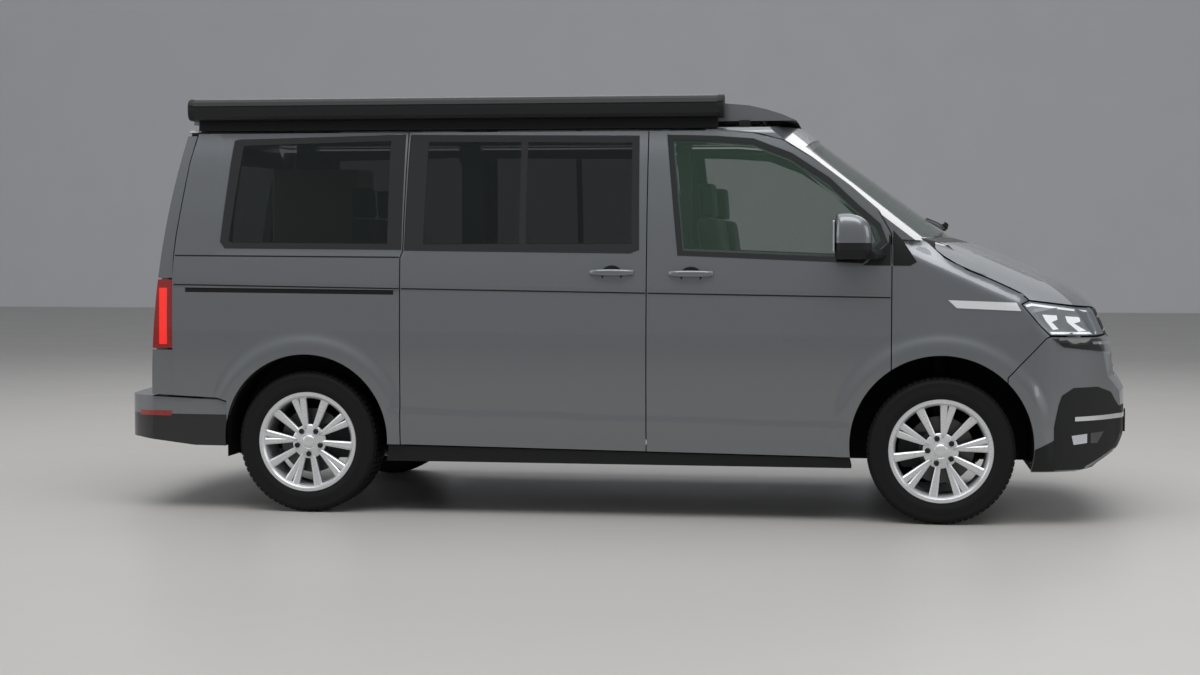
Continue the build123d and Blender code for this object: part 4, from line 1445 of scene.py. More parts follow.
def ring_tree(name: str, inner: bpy.types.Object, finish: Finish) -> bpy.types.NodeTree:
    """Geometry nodes that set copies of a piece round a circle in the XY plane.

    Args:
        name: The tree's name.
        inner: The piece that repeats, drawn pointing along +X from the centre.
        finish: The finish of the copies.

    Returns:
        The tree, with inputs Count and Phase.
    """
    tree = bpy.data.node_groups.new(name, "GeometryNodeTree")
    tree.interface.new_socket("Count", in_out="INPUT", socket_type="NodeSocketInt")
    tree.interface.new_socket("Phase", in_out="INPUT", socket_type="NodeSocketFloat")
    tree.interface.new_socket("Geometry", in_out="OUTPUT", socket_type="NodeSocketGeometry")
    given = add_node(tree, "NodeGroupInput", {}, {})
    points = add_node(tree, "GeometryNodePoints", {"Position": (0, 0, 0)}, {"Count": given.outputs["Count"]})
    index = add_node(tree, "GeometryNodeInputIndex", {}, {})
    share = add_node(
        tree, "ShaderNodeMath", {"operation": "DIVIDE"}, {0: index.outputs[0], 1: given.outputs["Count"]}
    )
    turn = add_node(
        tree, "ShaderNodeMath", {"operation": "MULTIPLY_ADD", 1: math.tau},
        {0: share.outputs[0], 2: given.outputs["Phase"]},
    )
    angle = add_node(tree, "ShaderNodeCombineXYZ", {}, {"Z": turn.outputs[0]})
    source = add_node(tree, "GeometryNodeObjectInfo", {"Object": inner}, {})
    copies = add_node(
        tree, "GeometryNodeInstanceOnPoints", {},
        {"Points": points.outputs[0], "Instance": source.outputs["Geometry"], "Rotation": angle.outputs[0]},
    )
    real = add_node(tree, "GeometryNodeRealizeInstances", {}, {0: copies.outputs[0]})
    dressed = add_node(
        tree, "GeometryNodeSetMaterial", {"Material": finish.material()}, {"Geometry": real.outputs[0]}
    )
    add_node(tree, "NodeGroupOutput", {}, {0: dressed.outputs[0]})
    return tree


def ring_mesh(
    name: str, shape: Shape, count: int, phase: float, finish: Finish, rounding: float
) -> bpy.types.Mesh:
    """The plain mesh of a shape repeated round a circle.

    Args:
        name: A name for the tree and mesh.
        shape: What repeats.
        count: How many times.
        phase: Angle of the first, in degrees.
        finish: Its finish.
        rounding: Bevel of the repeated shape, in millimetres.

    Returns:
        The mesh, in metres, about the Z axis.
    """
    one = shape.object(f"{name}_one")
    if rounding:
        bevelled(one, rounding, 2, 25)
    holder = bpy.data.objects.new(name, bpy.data.meshes.new(name))
    bpy.context.scene.collection.objects.link(holder)
    tree = ring_tree(f"{name}_ring", one, finish)
    modifier = holder.modifiers.new("ring", "NODES")
    modifier.node_group = tree
    sockets = {item.name: item.identifier for item in tree.interface.items_tree if item.in_out == "INPUT"}
    modifier[sockets["Count"]] = count
    modifier[sockets["Phase"]] = math.radians(phase)
    graph = bpy.context.evaluated_depsgraph_get()
    graph.update()
    mesh = bpy.data.meshes.new_from_object(holder.evaluated_get(graph))
    bpy.data.objects.remove(holder)
    bpy.data.objects.remove(one)
    return mesh


@dataclass
class Wheel:
    """A cast wheel with five split spokes and five single ones, its tyre, disc and bolts."""

    place_name: str
    axle: Point
    split_phase: float
    bolt_phase: float
    centre_y: float = 815.0
    spoke_count: int = 5
    spoke_start: float = 58.0
    spoke_end: float = 230.0
    spoke_steps: int = 8
    hub_face: float = 86.0
    dish: float = 18.0
    spoke_edge: float = 5.0
    spoke_depth: float = 22.0
    spoke_rounding: float = 1.6
    split_lean: float = 23.0
    split_half: Point = (10.0, 18.5)
    single_half: Point = (12.0, 22.0)
    tread_pitches: int = 72
    tread_share: float = 0.78
    tread_root: float = 331.0
    tread_twist: float = 0.006
    bolt_circle: float = 60.0

    # Closed profiles turned round the axle: radius, and distance out from the wheel's middle plane.
    TYRE: ClassVar[Outline] = (
        (222, -100), (236, -107), (262, -116), (292, -117), (318, -114), (329, -104), (333, -88), (333, 88),
        (329, 104), (318, 114), (312, 115.4), (308, 114.6), (292, 117), (276, 116.6), (272, 117.2),
        (262, 116), (236, 107), (222, 100),
    )
    BARREL: ClassVar[Outline] = (
        (238, 112), (240, 109), (239, 104), (221, 101), (221, -101), (241, -104), (241, -112), (232, -112),
        (212, -98), (206, 60), (209, 92), (215, 104), (223, 111),
    )
    HUB: ClassVar[Outline] = ((31, 68), (31, 90), (35, 92), (44, 88), (74, 84), (82, 79), (82, 62), (60, 60))
    CAP: ClassVar[Outline] = ((0.5, 86), (0.5, 97.5), (14, 97), (27, 94.5), (31, 91), (31, 86))
    DISC: ClassVar[Outline] = ((60, 2), (155, 2), (155, 20), (60, 20))
    BELL: ClassVar[Outline] = ((24, 2), (78, 2), (78, 46), (72, 52), (24, 52))
    # Rings of a bolt's head: radius, and distance out.
    BOLT: ClassVar[Outline] = ((13.5, 74), (13.5, 93), (11, 95))
    # Ribs of the tread: inner and outer edge across the tyre, and top radius.
    RIBS: ClassVar[tuple] = (
        (-96, -66, 337.6), (-60, -26, 339.6), (-20, 20, 339.8), (26, 60, 339.6), (66, 96, 337.6),
    )

    def spoke(self, half_widths: Point, lean: float) -> Shape:
        """One arm, drawn along +X, with its face dished towards the hub.

        Args:
            half_widths: Half width at the hub and at the rim.
            lean: How far its outer end lies to one side.

        Returns:
            The shape.
        """
        shape = Shape()
        rings = []
        root, tip = half_widths
        for k in range(self.spoke_steps + 1):
            t = k / self.spoke_steps
            r = self.spoke_start + (self.spoke_end - self.spoke_start) * t
            half = root + (tip - root) * t
            side = lean * t
            face = self.hub_face + self.dish * t**1.6
            back, edge = face - self.spoke_depth, face - self.spoke_edge
            rings.append([
                (r, side - half, back), (r, side - half, edge), (r, side - half * 0.5, face),
                (r, side + half * 0.5, face), (r, side + half, edge), (r, side + half, back),
            ])
        shape.loft(rings)
        return shape

    def turned(self, profile: Outline, count: int) -> bpy.types.Mesh:
        """A closed profile of (radius, depth) turned round the axle.

        Args:
            profile: The profile's corners.
            count: Steps round the axle.

        Returns:
            The mesh in metres, about the Z axis.
        """
        shape = Shape()
        rows = len(profile)
        verts = []
        for i in range(count):
            a = i * math.tau / count
            verts += [(r * math.cos(a), r * math.sin(a), w) for r, w in profile]
        faces = []
        for i in range(count):
            here, there = i * rows, (i + 1) % count * rows
            for j in range(rows):
                k = (j + 1) % rows
                faces.append((here + j, here + k, there + k, there + j))
        shape.add(verts, faces)
        thing = shape.object("turned")
        mesh = thing.data
        bpy.data.objects.remove(thing)
        return mesh

    def seat(self, mesh: bpy.types.Mesh, name: str, side: Side) -> bpy.types.Object:
        """Turn a mesh about Z into its place on the van.

        Args:
            mesh: The mesh in metres, with Z pointing out of the wheel.
            name: The piece's name.
            side: The side.

        Returns:
            The object.
        """
        to_van = Matrix((
            (1, 0, 0, self.axle[0] * MM), (0, 0, side.value, side.value * self.centre_y * MM),
            (0, 1, 0, self.axle[1] * MM), (0, 0, 0, 1),
        ))
        mesh.transform(to_van)
        if to_van.determinant() < 0:
            mesh.flip_normals()
        made = bpy.data.objects.new(f"{name}_{self.place_name}_{side.word}", mesh)
        bpy.context.scene.collection.objects.link(made)
        return made

    def tread_block(self) -> Shape:
        """One pitch of the tread: ribs and shoulder blocks across the crown."""
        shape = Shape()
        half = math.pi / self.tread_pitches * self.tread_share
        root = self.tread_root
        for low, high, top in self.RIBS:
            corners = ((-half, root), (-half, top), (half, top), (half, root))
            shape.loft([
                [(r * math.cos(a + twist), r * math.sin(a + twist), w) for a, r in corners]
                for w, twist in ((low, 0.0), (high, self.tread_twist))
            ])
        return shape

    def build(self, side: Side) -> None:
        """Make the wheel on one side.

        Args:
            side: The side.
        """
        body = f"wheel_{self.place_name}_{side.word}"
        name = f"{self.place_name}_{side.word}"
        tread = ring_mesh(f"tread_{name}", self.tread_block(), self.tread_pitches, 0, RUBBER, 0)
        tyre = self.seat(self.joined([self.turned(self.TYRE, 120), tread]), "tyre_dressed", side)
        smoothed(tyre, 30)
        place(tyre, RUBBER, body, [f"tyre_{name}"])
        rim = self.seat(self.joined(self.casting(name)), "wheel_casting", side)
        smoothed(rim, 36)
        place(rim, ALLOY, body, [f"rim_{name}"])
        bolt = Shape()
        corners = [i * math.tau / 6 for i in range(6)]
        bolt.loft([
            [(self.bolt_circle + r * math.cos(a), r * math.sin(a), w) for a in corners] for r, w in self.BOLT
        ])
        ring = ring_mesh(f"bolts_{name}", bolt, self.spoke_count, self.bolt_phase, CAST_IRON, 0.6)
        bolts = self.seat(ring, "wheel_bolts", side)
        smoothed(bolts)
        place(bolts, CAST_IRON, body)
        cover = self.seat(self.turned(self.CAP, 48), "centre_cap", side)
        smoothed(cover, 40)
        place(cover, ALLOY, body)
        iron = self.joined([self.turned(self.DISC, 80), self.turned(self.BELL, 60)])
        brake = self.seat(iron, "brake_disc", side)
        smoothed(brake, 40)
        place(brake, DISC_IRON, body)

    def casting(self, name: str) -> list[bpy.types.Mesh]:
        """Meshes of the rim: barrel, hub, split spokes and the single ones between them.

        Args:
            name: The wheel's name.

        Returns:
            The meshes.
        """
        count, rounding = self.spoke_count, self.spoke_rounding
        parts = [self.turned(self.BARREL, 96), self.turned(self.HUB, 60)]
        for k, lean in enumerate((-self.split_lean, self.split_lean)):
            arm = self.spoke(self.split_half, lean)
            parts.append(ring_mesh(f"split_{k}_{name}", arm, count, self.split_phase, ALLOY, rounding))
        between = self.split_phase + 180 / count
        single = self.spoke(self.single_half, 0)
        parts.append(ring_mesh(f"single_{name}", single, count, between, ALLOY, rounding))
        return parts

    def joined(self, meshes: Sequence[bpy.types.Mesh]) -> bpy.types.Mesh:
        """One mesh from several.

        Args:
            meshes: The meshes, in one frame.

        Returns:
            The joined mesh.
        """
        work = bmesh.new()
        for mesh in meshes:
            work.from_mesh(mesh)
        bmesh.ops.recalc_face_normals(work, faces=work.faces)
        result = bpy.data.meshes.new("joined")
        work.to_mesh(result)
        work.free()
        return result


@dataclass
class Awning:
    """Cassette awning on the right roof edge: extruded case with its lid's seam, adapter and end caps."""

    rear_x: float = -2044.0
    front_x: float = 534.0
    cap_length: float = 27.0
    cap_overlap: float = 1.0
    cap_taper: float = 0.985
    adapter_end: float = 30.0
    middle: Point = (-861.0, 1935.0)
    profile: Outline = (
        (-798, 1882), (-880, 1881), (-905, 1886), (-919, 1900), (-924, 1922), (-924.5, 1944), (-921, 1945.5),
        (-921, 1948.5), (-924, 1950), (-918, 1968), (-904, 1980), (-880, 1987), (-840, 1989), (-806, 1985),
        (-797, 1972), (-796, 1900),
    )
    adapter: Outline = ((-852, 1834), (-846, 1884), (-808, 1884), (-812, 1842))

    def build(self) -> None:
        """Make the case, the adapter under it and its caps."""
        end = self.cap_length - self.cap_overlap
        case = Shape()
        case.loft([[(x, y, z) for y, z in self.profile] for x in (self.rear_x + end, self.front_x - end)])
        made = case.object("awning_case")
        smoothed(made, 24)
        place(made, AWNING_CASE, "body", ["awning"])
        rail = Shape()
        end = self.adapter_end
        rail.loft([[(x, y, z) for y, z in self.adapter] for x in (self.rear_x + end, self.front_x - end)])
        adapter = rail.object("awning_adapter")
        bevelled(adapter, 3)
        place(adapter, TRIM, "body")
        self.cap("rear", (self.rear_x, self.cap_taper), (self.rear_x + self.cap_length, 1.0))
        self.cap("front", (self.front_x - self.cap_length, 1.0), (self.front_x, self.cap_taper))

    def cap(self, name: str, rear: Point, front: Point) -> None:
        """Make one end cap.

        Args:
            name: Which end.
            rear: X and size of its rear face, as a share of the profile.
            front: X and size of its front face.
        """
        shape = Shape()
        y0, z0 = self.middle
        shape.loft([
            [(x, y0 + (y - y0) * share, z0 + (z - z0) * share) for y, z in self.profile]
            for x, share in (rear, front)
        ])
        made = shape.object(f"awning_cap_{name}")
        bevelled(made, 2)
        smoothed(made, 30)
        place(made, TRIM, "body")


@dataclass
class NoseTrim:
    """Lamps, strips, insert, bonnet corners, slats, plate and wipers of the front."""

    # Pieces bent round the nose: name, corners by angle from straight ahead and height, proud, finish, slot.
    SWEPT: ClassVar[tuple] = (
        ("bumper_insert", (
            (62, 330), (62, 455), (60, 555), (58.5, 600), (53, 635), (40, 636), (31, 608), (25, 540),
            (14, 540), (14, 330), (38, 322),
        ), 3.2, TRIM, "black_plastic"),
        # Black lower lip, partly painted shade where the bumper's bottom turns under.
        ("bumper_lip", (
            (68, 245), (68, 292), (62, 330), (38, 322), (14, 330), (14, 262), (38, 252),
        ), 3.2, TRIM, "black_plastic"),
        ("bumper_blade", (
            (52.6, 502), (25, 505), (15, 505), (15, 484), (25, 483), (52.6, 482),
        ), 7.0, CHROME, "alloy"),
        ("fog_lamp", ((54, 416), (46, 422), (46, 380), (53, 374)), 4.6, REFLECTOR, "lamp_clear"),
        ("fog_blade", ((44, 424), (36, 428), (40, 376), (44, 378)), 4.0, GLOSS_BLACK, "black_plastic"),
        ("lamp_brow", (
            (64, 868), (56, 862), (43, 860), (15, 856), (15, 776), (43, 804), (58, 822),
        ), 6.5, GLOSS_BLACK, "black_plastic"),
        ("brow_strip", ((44, 846), (15, 838), (15, 822), (44, 834)), 9.0, CHROME, "alloy"),
    )
    LAMP: ClassVar[Outline] = (
        (1935, 1030), (1903, 1017), (1984, 922), (2029, 880), (2200, 876), (2262, 880), (2246, 930),
        (2212, 990),
    )
    # Pieces laid on the nose from the side: name, outline, proud, finish, slot and depth of the hem.
    PATCHES: ClassVar[tuple] = (
        ("lamp_inner", LAMP, 0.6, LAMP_HOUSING, "lamp_clear", 6.0),
        ("lamp_top_line", (
            (1912, 1015), (1940, 1023), (2208, 986), (2212, 977), (1944, 1011), (1920, 1006),
        ), 1.8, LIGHT_GUIDE, "lamp_clear", 6.0),
        ("lamp_low_line", (
            (2026, 893), (2250, 889), (2252, 880), (2034, 883),
        ), 1.8, LIGHT_GUIDE, "lamp_clear", 6.0),
        ("lamp_module_rear", (
            (1990, 972), (2056, 968), (2060, 948), (2034, 938), (2066, 905), (2040, 902), (2004, 945),
        ), 1.8, LIGHT_GUIDE, "lamp_clear", 6.0),
        ("lamp_module_front", (
            (2096, 964), (2164, 958), (2168, 938), (2138, 930), (2196, 896), (2160, 892), (2106, 936),
        ), 1.8, LIGHT_GUIDE, "lamp_clear", 6.0),
        ("lamp_lens", LAMP, 4.6, CLEAR_LENS, "lamp_clear", 3.4),
        ("wing_strip", (
            (1568, 1036), (1873, 1026), (1895, 988), (1606, 1000),
        ), 8.4, SATIN_STRIP, "alloy", 6.0),
    )
    # Bars across the face: name, height, half length, half thickness, proud and finish.
    BARS: ClassVar[tuple] = (
        ("grille_strip_top", 948, 500, 7, 4, CHROME), ("grille_strip_low", 884, 500, 6, 4, CHROME),
        ("grille_slat_a", 916, 498, 5, 2, TRIM), ("grille_slat_b", 846, 498, 5, 2, TRIM),
        ("grille_slat_c", 800, 498, 5, 2, TRIM), ("grille_slat_d", 754, 498, 5, 2, TRIM),
        ("grille_slat_e", 708, 498, 5, 2, TRIM), ("intake_slat_a", 350, 470, 6, 2, TRIM),
    )
    BAR_STEPS: ClassVar[int] = 48
    BAR_DEPTH: ClassVar[float] = 14
    # Where the rays towards the face start, and the least X that counts as the face.
    RAY_X: ClassVar[float] = 2700
    FACE_X: ClassVar[float] = 2150
    # Wiper arms: Y of the pivot and reach along Y.
    WIPERS: ClassVar[tuple[Point, ...]] = ((-470, 560), (190, 520))
    # Painted shade: black sheet over the bumper's side in front of the wheel, where its paint turns under;
    # corners in side view.
    FOOT: ClassVar[Outline] = ((1940, 256), (1940, 345), (2052, 398), (2052, 256))
    # Bonnet corner over the wing: X, then half width and height of its outer and inner edge.
    CORNER: ClassVar[tuple] = (
        (1508, 893, 1268, 790, 1312), (1560, 905, 1228, 800, 1300), (1620, 912, 1196, 806, 1279),
        (1690, 913, 1164, 812, 1251), (1740, 906, 1148, 818, 1228), (1790, 893, 1136, 836, 1196),
    )

    def bonnet_corner(self, side: Side) -> None:
        """Painted corner of the bonnet that reaches down to the wing's edge.

        Args:
            side: The side.
        """
        shape = Shape()
        rings = []
        for row, (x, low_y, low_z, high_y, high_z) in enumerate(self.CORNER):
            ring = []
            fade = 1 - (row / (len(self.CORNER) - 1)) ** 2
            for k in range(7):
                t = k / 6
                swell = (11 * math.sin(math.pi * t) + 3 * (1 - t)) * fade - 4 * t - 5 * (1 - fade)
                ring.append((
                    x, side.value * (low_y + (high_y - low_y) * t + swell * 0.55),
                    low_z + (high_z - low_z) * t + swell * 0.8,
                ))
            rings.append(ring)
        shape.loft(rings, closed=False, capped=False)
        made = shape.object(f"bonnet_corner_{side.word}", outward=False)
        if sum(f.normal.z * f.area for f in made.data.polygons) < 0:
            made.data.flip_normals()
        wall = made.modifiers.new("wall", "SOLIDIFY")
        wall.thickness = 2.5 * MM
        wall.offset = -1
        finer = made.modifiers.new("finer", "SUBSURF")
        finer.levels = finer.render_levels = 2
        baked(made)
        smoothed(made, 60)
        place(made, PAINT, "bonnet")

    def build(self) -> None:
        """Make every piece of the front."""
        axle_x, _ = FORM.front_axle
        for side in Side:
            for name, outline, proud, finish, slot, hem in self.PATCHES:
                SkinPanel(
                    name, "body", outline, gap=0, hem=hem, step=9,
                    height=lambda x, z, proud=proud: FORM.panel_y(x, z) + proud, finish=finish, slot=slot,
                ).build(side)
            for name, corners, proud, finish, slot in self.SWEPT:
                outline = [(math.radians(angle) * FORM.sweep_radius, z) for angle, z in corners]
                SkinPanel(
                    name, "body", outline, gap=0, hem=9, step=10, finish=finish, slot=slot, swept=proud,
                    covers=FORM.nose_relief.covers,
                ).build(side)
            self.bonnet_corner(side)
            # Painted shade laid over the bumper's paint in front of the wheel.
            SkinPanel(
                "bumper_foot", "body", self.FOOT, [circle((axle_x, FORM.arch_z), FORM.front_arch + 2)], gap=0,
                hem=6, step=12, height=lambda x, z: FORM.nose_skin_y(x, z) + 1.2, finish=TRIM,
                slot="black_plastic",
            ).build(side)
        self.face_bars()
        self.front_plate()
        self.wipers()

    def face_bars(self) -> None:
        """Slats of the upper and lower grille, with two bright strips."""
        for name, z, half, thick, proud, finish in self.BARS:
            shape = Shape()
            rings = []
            for i in range(self.BAR_STEPS + 1):
                y = -half + 2 * half * i / self.BAR_STEPS
                hit = FORM.nose.ray_cast(Vector((self.RAY_X, y, z)), Vector((-1, 0, 0)))[0]
                if hit is None or hit.x < self.FACE_X:
                    continue
                x = hit.x + proud
                back, edge = x - self.BAR_DEPTH, thick * 0.7
                rings.append([(back, y, z - thick), (x, y, z - edge), (x, y, z + edge), (back, y, z + thick)])
            if len(rings) > 2:
                shape.loft(rings)
                made = shape.object(name)
                smoothed(made)
                place(made, finish, "body")

    def front_plate(self) -> None:
        """Blank plate on its carrier, with a dark frame."""
        frame = ((2444, -261, 384), (2447, 261, 496))
        blank = ((2446.5, -256, 388), (2449.5, 256, 492))
        boxed("front_plate_frame", *frame, 1, TRIM, "body", "black_plastic")
        boxed("front_plate_blank", *blank, 1, PLATE_FILM, "body")

    def wipers(self) -> None:
        """Two wiper arms with blades lying along the windscreen's foot."""
        shape = Shape()
        for pivot_y, reach in self.WIPERS:
            for k in range(2):
                rings = []
                for i in range(13):
                    t = i / 12
                    y = pivot_y + reach * t
                    bow = 190 * (y / 1100) ** 2
                    lift = 10 + 26 * math.sin(math.pi * t) * (0.35 if k else 0.2)
                    x = 1596 - bow - 10 * t + 6 * k
                    z = 1352 + bow * 0.72 + 8 * t + lift + 8 * k
                    w = (5 if k else 9) * (1 - 0.35 * t)
                    rings.append([(x - w, y, z - 4), (x - w, y, z + 3), (x + w, y, z + 3), (x + w, y, z - 4)])
                shape.loft(rings)
        made = shape.object("wipers")
        bevelled(made, 1.4)
        smoothed(made)
        place(made, TRIM, "body")


@dataclass
class TailTrim:
    """Lamp bars, reflectors, plate, grip bar and wiper of the rear."""

    LAMP_LOW: ClassVar[float] = 806
    LAMP_TALL: ClassVar[float] = 272
    LAMP_STEPS: ClassVar[int] = 12
    LAMP_Y: ClassVar[float] = 840
    REFLECTOR_X: ClassVar[float] = -2306
    REFLECTOR_LENGTH: ClassVar[float] = 172
    REFLECTOR_STEPS: ClassVar[int] = 14
    # Rings of the reflector: how far out, and height.
    REFLECTOR_RING: ClassVar[Outline] = ((-4, 457), (2, 459), (2, 483), (-4, 485))
    # Section of the grip bar: how far behind the tail, and height.
    GRIP: ClassVar[Outline] = ((-4, 974), (18, 976), (18, 992), (-6, 1004))
    # Wiper arm and blade: both ends along Y, both heights, and half width.
    WIPER: ClassVar[tuple] = ((30, -470, 1206, 1232, 8), (-150, -640, 1222, 1246, 5))

    def build(self) -> None:
        """Make every piece of the rear."""
        for side in Side:
            self.lamp(side)
            self.reflector(side)
        self.tailgate_pieces()

    def lamp(self, side: Side) -> None:
        """Lit bars on the side and the rear face of the tall lamp.

        Args:
            side: The side.
        """
        flank, rear = Shape(), Shape()
        rings, rear_rings = [], []
        for k in range(self.LAMP_STEPS + 1):
            z = self.LAMP_LOW + self.LAMP_TALL * k / self.LAMP_STEPS
            y = FORM.cabin_y(z)
            rings.append([(-2146, y - 2, z), (-2149, y + 1.2, z), (-2186, y + 1.2, z), (-2189, y - 2, z)])
            hit = FORM.tail_lamp.ray_cast(Vector((-2700, -self.LAMP_Y, z)), Vector((1, 0, 0)))[0]
            x = hit.x if hit else FORM.tail_x(self.LAMP_Y, z)
            rear_rings.append([(x + 3, 818, z), (x - 1.2, 821, z), (x - 1.2, 858, z), (x + 3, 861, z)])
        for name, shape, loops in (("tail_guide_side", flank, rings), ("tail_guide_rear", rear, rear_rings)):
            shape.loft([[(x, side.value * y, z) for x, y, z in ring] for ring in loops])
            made = shape.object(f"{name}_{side.word}")
            smoothed(made, 40)
            place(made, RED_GUIDE, "body")

    def reflector(self, side: Side) -> None:
        """Long red reflector in the bumper's corner, with a faint painted glow though it holds no lamp.

        Args:
            side: The side.
        """
        shape = Shape()
        rings = []
        for i in range(self.REFLECTOR_STEPS + 1):
            x = self.REFLECTOR_X + self.REFLECTOR_LENGTH * i / self.REFLECTOR_STEPS
            hit = FORM.tail_bumper.ray_cast(Vector((x, -1400, 471)), Vector((0, 1, 0)))[0]
            if hit is not None:
                rings.append([(x, side.value * (-hit.y + out), z) for out, z in self.REFLECTOR_RING])
        shape.loft(rings)
        made = shape.object(f"rear_reflector_{side.word}")
        smoothed(made, 50)
        # The red lens's faint glow is painted light here: a reflector holds no lamp.
        place(made, RED_LENS, "body")

    def tailgate_pieces(self) -> None:
        """Blank plate, grip bar and wiper of the tailgate."""
        boxed("rear_plate_blank", (-2357, -256, 848), (-2352.5, 256, 952), 1, PLATE_FILM_REAR, "tailgate")
        bar = Shape()
        bar.loft([
            [(FORM.tail_x(y, z) - out, y, z) for out, z in self.GRIP] for y in (-330, -165, 0, 165, 330)
        ])
        grip = bar.object("tailgate_grip")
        bevelled(grip, 3)
        smoothed(grip)
        place(grip, PAINT, "tailgate")
        wiper = Shape()
        for y0, y1, z0, z1, w in self.WIPER:
            rings = []
            for i in range(9):
                t = i / 8
                y = y0 + (y1 - y0) * t
                z = z0 + (z1 - z0) * t
                x = FORM.tail_x(y, z) - 8
                rings.append([(x, y, z - w), (x - 7, y, z - w), (x - 7, y, z + w), (x, y, z + w)])
            wiper.loft(rings)
        arm = wiper.object("rear_wiper")
        bevelled(arm, 1.5)
        smoothed(arm)
        place(arm, TRIM, "tailgate")


@dataclass
class Interior:
    """Seats, bench and the boxes under them, seen through the glass."""

    PAD_ROWS: ClassVar[int] = 16
    PAD_SIDES: ClassVar[int] = 40
    SQUARENESS: ClassVar[float] = 0.45

    def cushion(
        self, name: str, low: Sequence[float], high: Sequence[float], lean: float, nodes: Sequence[str]
    ) -> None:
        """A crowned pad with pulled-in sides.

        Args:
            name: The piece's name.
            low: Its lowest corner.
            high: Its highest corner.
            lean: How far its top lies behind its foot.
            nodes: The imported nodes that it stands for.
        """
        shape = Shape()
        rings = []
        for k in range(self.PAD_ROWS + 1):
            t = k / self.PAD_ROWS
            pull = (1 - abs(2 * t - 1) ** 4) ** 0.3 * 0.12 + 0.88
            mid = [(a + b) / 2 for a, b in zip(low, high)]
            half_x, half_y = (high[0] - low[0]) / 2 * pull, (high[1] - low[1]) / 2 * pull
            z = low[2] + (high[2] - low[2]) * t
            ring = []
            for i in range(self.PAD_SIDES):
                a = i * math.tau / self.PAD_SIDES
                dx, dy = squared(a, self.SQUARENESS)
                ring.append((mid[0] - lean * t + dx * half_x, mid[1] + dy * half_y, z))
            rings.append(ring)
        shape.loft(rings)
        made = shape.object(name)
        bevelled(made, 14, 3)
        smoothed(made, 60)
        place(made, SEAT_CLOTH, "body", nodes)

    def build(self) -> None:
        """Make the seats, the bench and their boxes."""
        for side, y in (("left", 400), ("right", -400)):
            nodes = ["front_seats"] if side == "left" else []
            self.cushion(f"seat_base_{side}", (430, y - 235, 690), (960, y + 235, 870), 0, nodes)
            self.cushion(f"seat_back_{side}", (445, y - 235, 850), (575, y + 235, 1415), 70, [])
            self.cushion(f"headrest_{side}", (385, y - 128, 1425), (470, y + 128, 1585), 12, [])
            foot, top = (450, y - 200, 481), (860, y + 200, 700)
            boxed(f"seat_box_{side}", foot, top, 12, TRIM, "body", "black_plastic")
        self.cushion("bench_base", (-1290, -640, 660), (-740, 340, 860), 0, ["rear_bench"])
        self.cushion("bench_back", (-1280, -640, 850), (-1160, 340, 1415), 70, [])
        for k, y in enumerate((-400, 100)):
            self.cushion(f"bench_headrest_{k}", (-1350, y - 110, 1425), (-1265, y + 110, 1570), 10, [])
        boxed("bench_box", (-1270, -620, 481), (-830, 320, 665), 10, LAMINATE, "body", "furniture")


@dataclass
class RoofPieces:
    """Pleated tent cloth of the pop-up roof, and the aerial in front of it."""

    CLOTH_FOOT: ClassVar[float] = 1866.5
    PLEAT_RISE: ClassVar[float] = 4.1
    PLEAT_DEPTH: ClassVar[float] = 6
    PLEATS: ClassVar[int] = 8
    # Stations of the aerial: X, height, share of its width.
    AERIAL: ClassVar[tuple] = ((872, 1860, 0.4), (830, 1872, 0.9), (780, 1896, 1.0), (762, 1900, 0.7))
    AERIAL_FOOT: ClassVar[float] = 1858
    AERIAL_HALF: ClassVar[float] = 26

    def build(self) -> None:
        """Make the cloth and the aerial."""
        shape = Shape()
        rings = []
        for k in range(self.PLEATS + 1):
            z = self.CLOTH_FOOT + self.PLEAT_RISE * k
            tuck = self.PLEAT_DEPTH if k % 2 else 0
            x0, x1, y = -1396 + tuck, 686 - tuck, 596 - tuck
            ring = [(x0 + (x1 - x0) * i / 20, -y, z) for i in range(20)]
            ring += [(x1, -y + 2 * y * i / 12, z) for i in range(12)]
            ring += [(x1 - (x1 - x0) * i / 20, y, z) for i in range(20)]
            ring += [(x0, y - 2 * y * i / 12, z) for i in range(12)]
            rings.append(ring)
        shape.loft(rings, capped=False)
        cloth = shape.object("roof_cloth", outward=True)
        thick = cloth.modifiers.new("cloth", "SOLIDIFY")
        thick.thickness = 0.8 * MM
        baked(cloth)
        cloth.data.materials.clear()
        cloth.data.materials.append(TENT_CLOTH.material())
        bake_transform(cloth)
        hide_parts("roof_bellows")
        LOG.info("roof_cloth: %d faces", len(cloth.data.polygons))
        aerial = Shape()
        y, foot = self.AERIAL_HALF, self.AERIAL_FOOT
        aerial.loft([
            [(x, y * w, foot), (x, y * w * 0.3, z), (x, -y * w * 0.3, z), (x, -y * w, foot)]
            for x, z, w in self.AERIAL
        ])
        fin = aerial.object("aerial")
        bevelled(fin, 3)
        smoothed(fin, 50)
        place(fin, GLOSS_BLACK, "body")


NODE_FINISHES: dict[str, Finish] = {
    "windscreen": CLEAR_GLASS, "tailgate_glass": PRIVACY_GLASS, "cowl": TRIM, "grille": TRIM,
    "plate_carrier": TRIM, "sills": TRIM, "dashboard": TRIM, "steering_wheel": TRIM, "roof_catch": TRIM,
    "wheel_housings": UNDERSEAL,
    "headlamps": LAMP_HOUSING, "tail_lamps": RED_LENS, "rear_bumper": BUMPER_PAINT, "floor_pan": UNDERSEAL,
    "chassis_rails": UNDERSEAL, "chassis_members": UNDERSEAL, "bumper_towers": UNDERSEAL,
    "front_subframe": UNDERSEAL, "front_struts": UNDERSEAL,
    "rear_axle": CAST_IRON, "knuckle_left": CAST_IRON, "knuckle_right": CAST_IRON, "engine_block": CAST_IRON,
    "fuel_tank": TRIM, "exhaust": EXHAUST_STEEL, "kitchen_unit": LAMINATE, "rear_cupboard": LAMINATE,
}


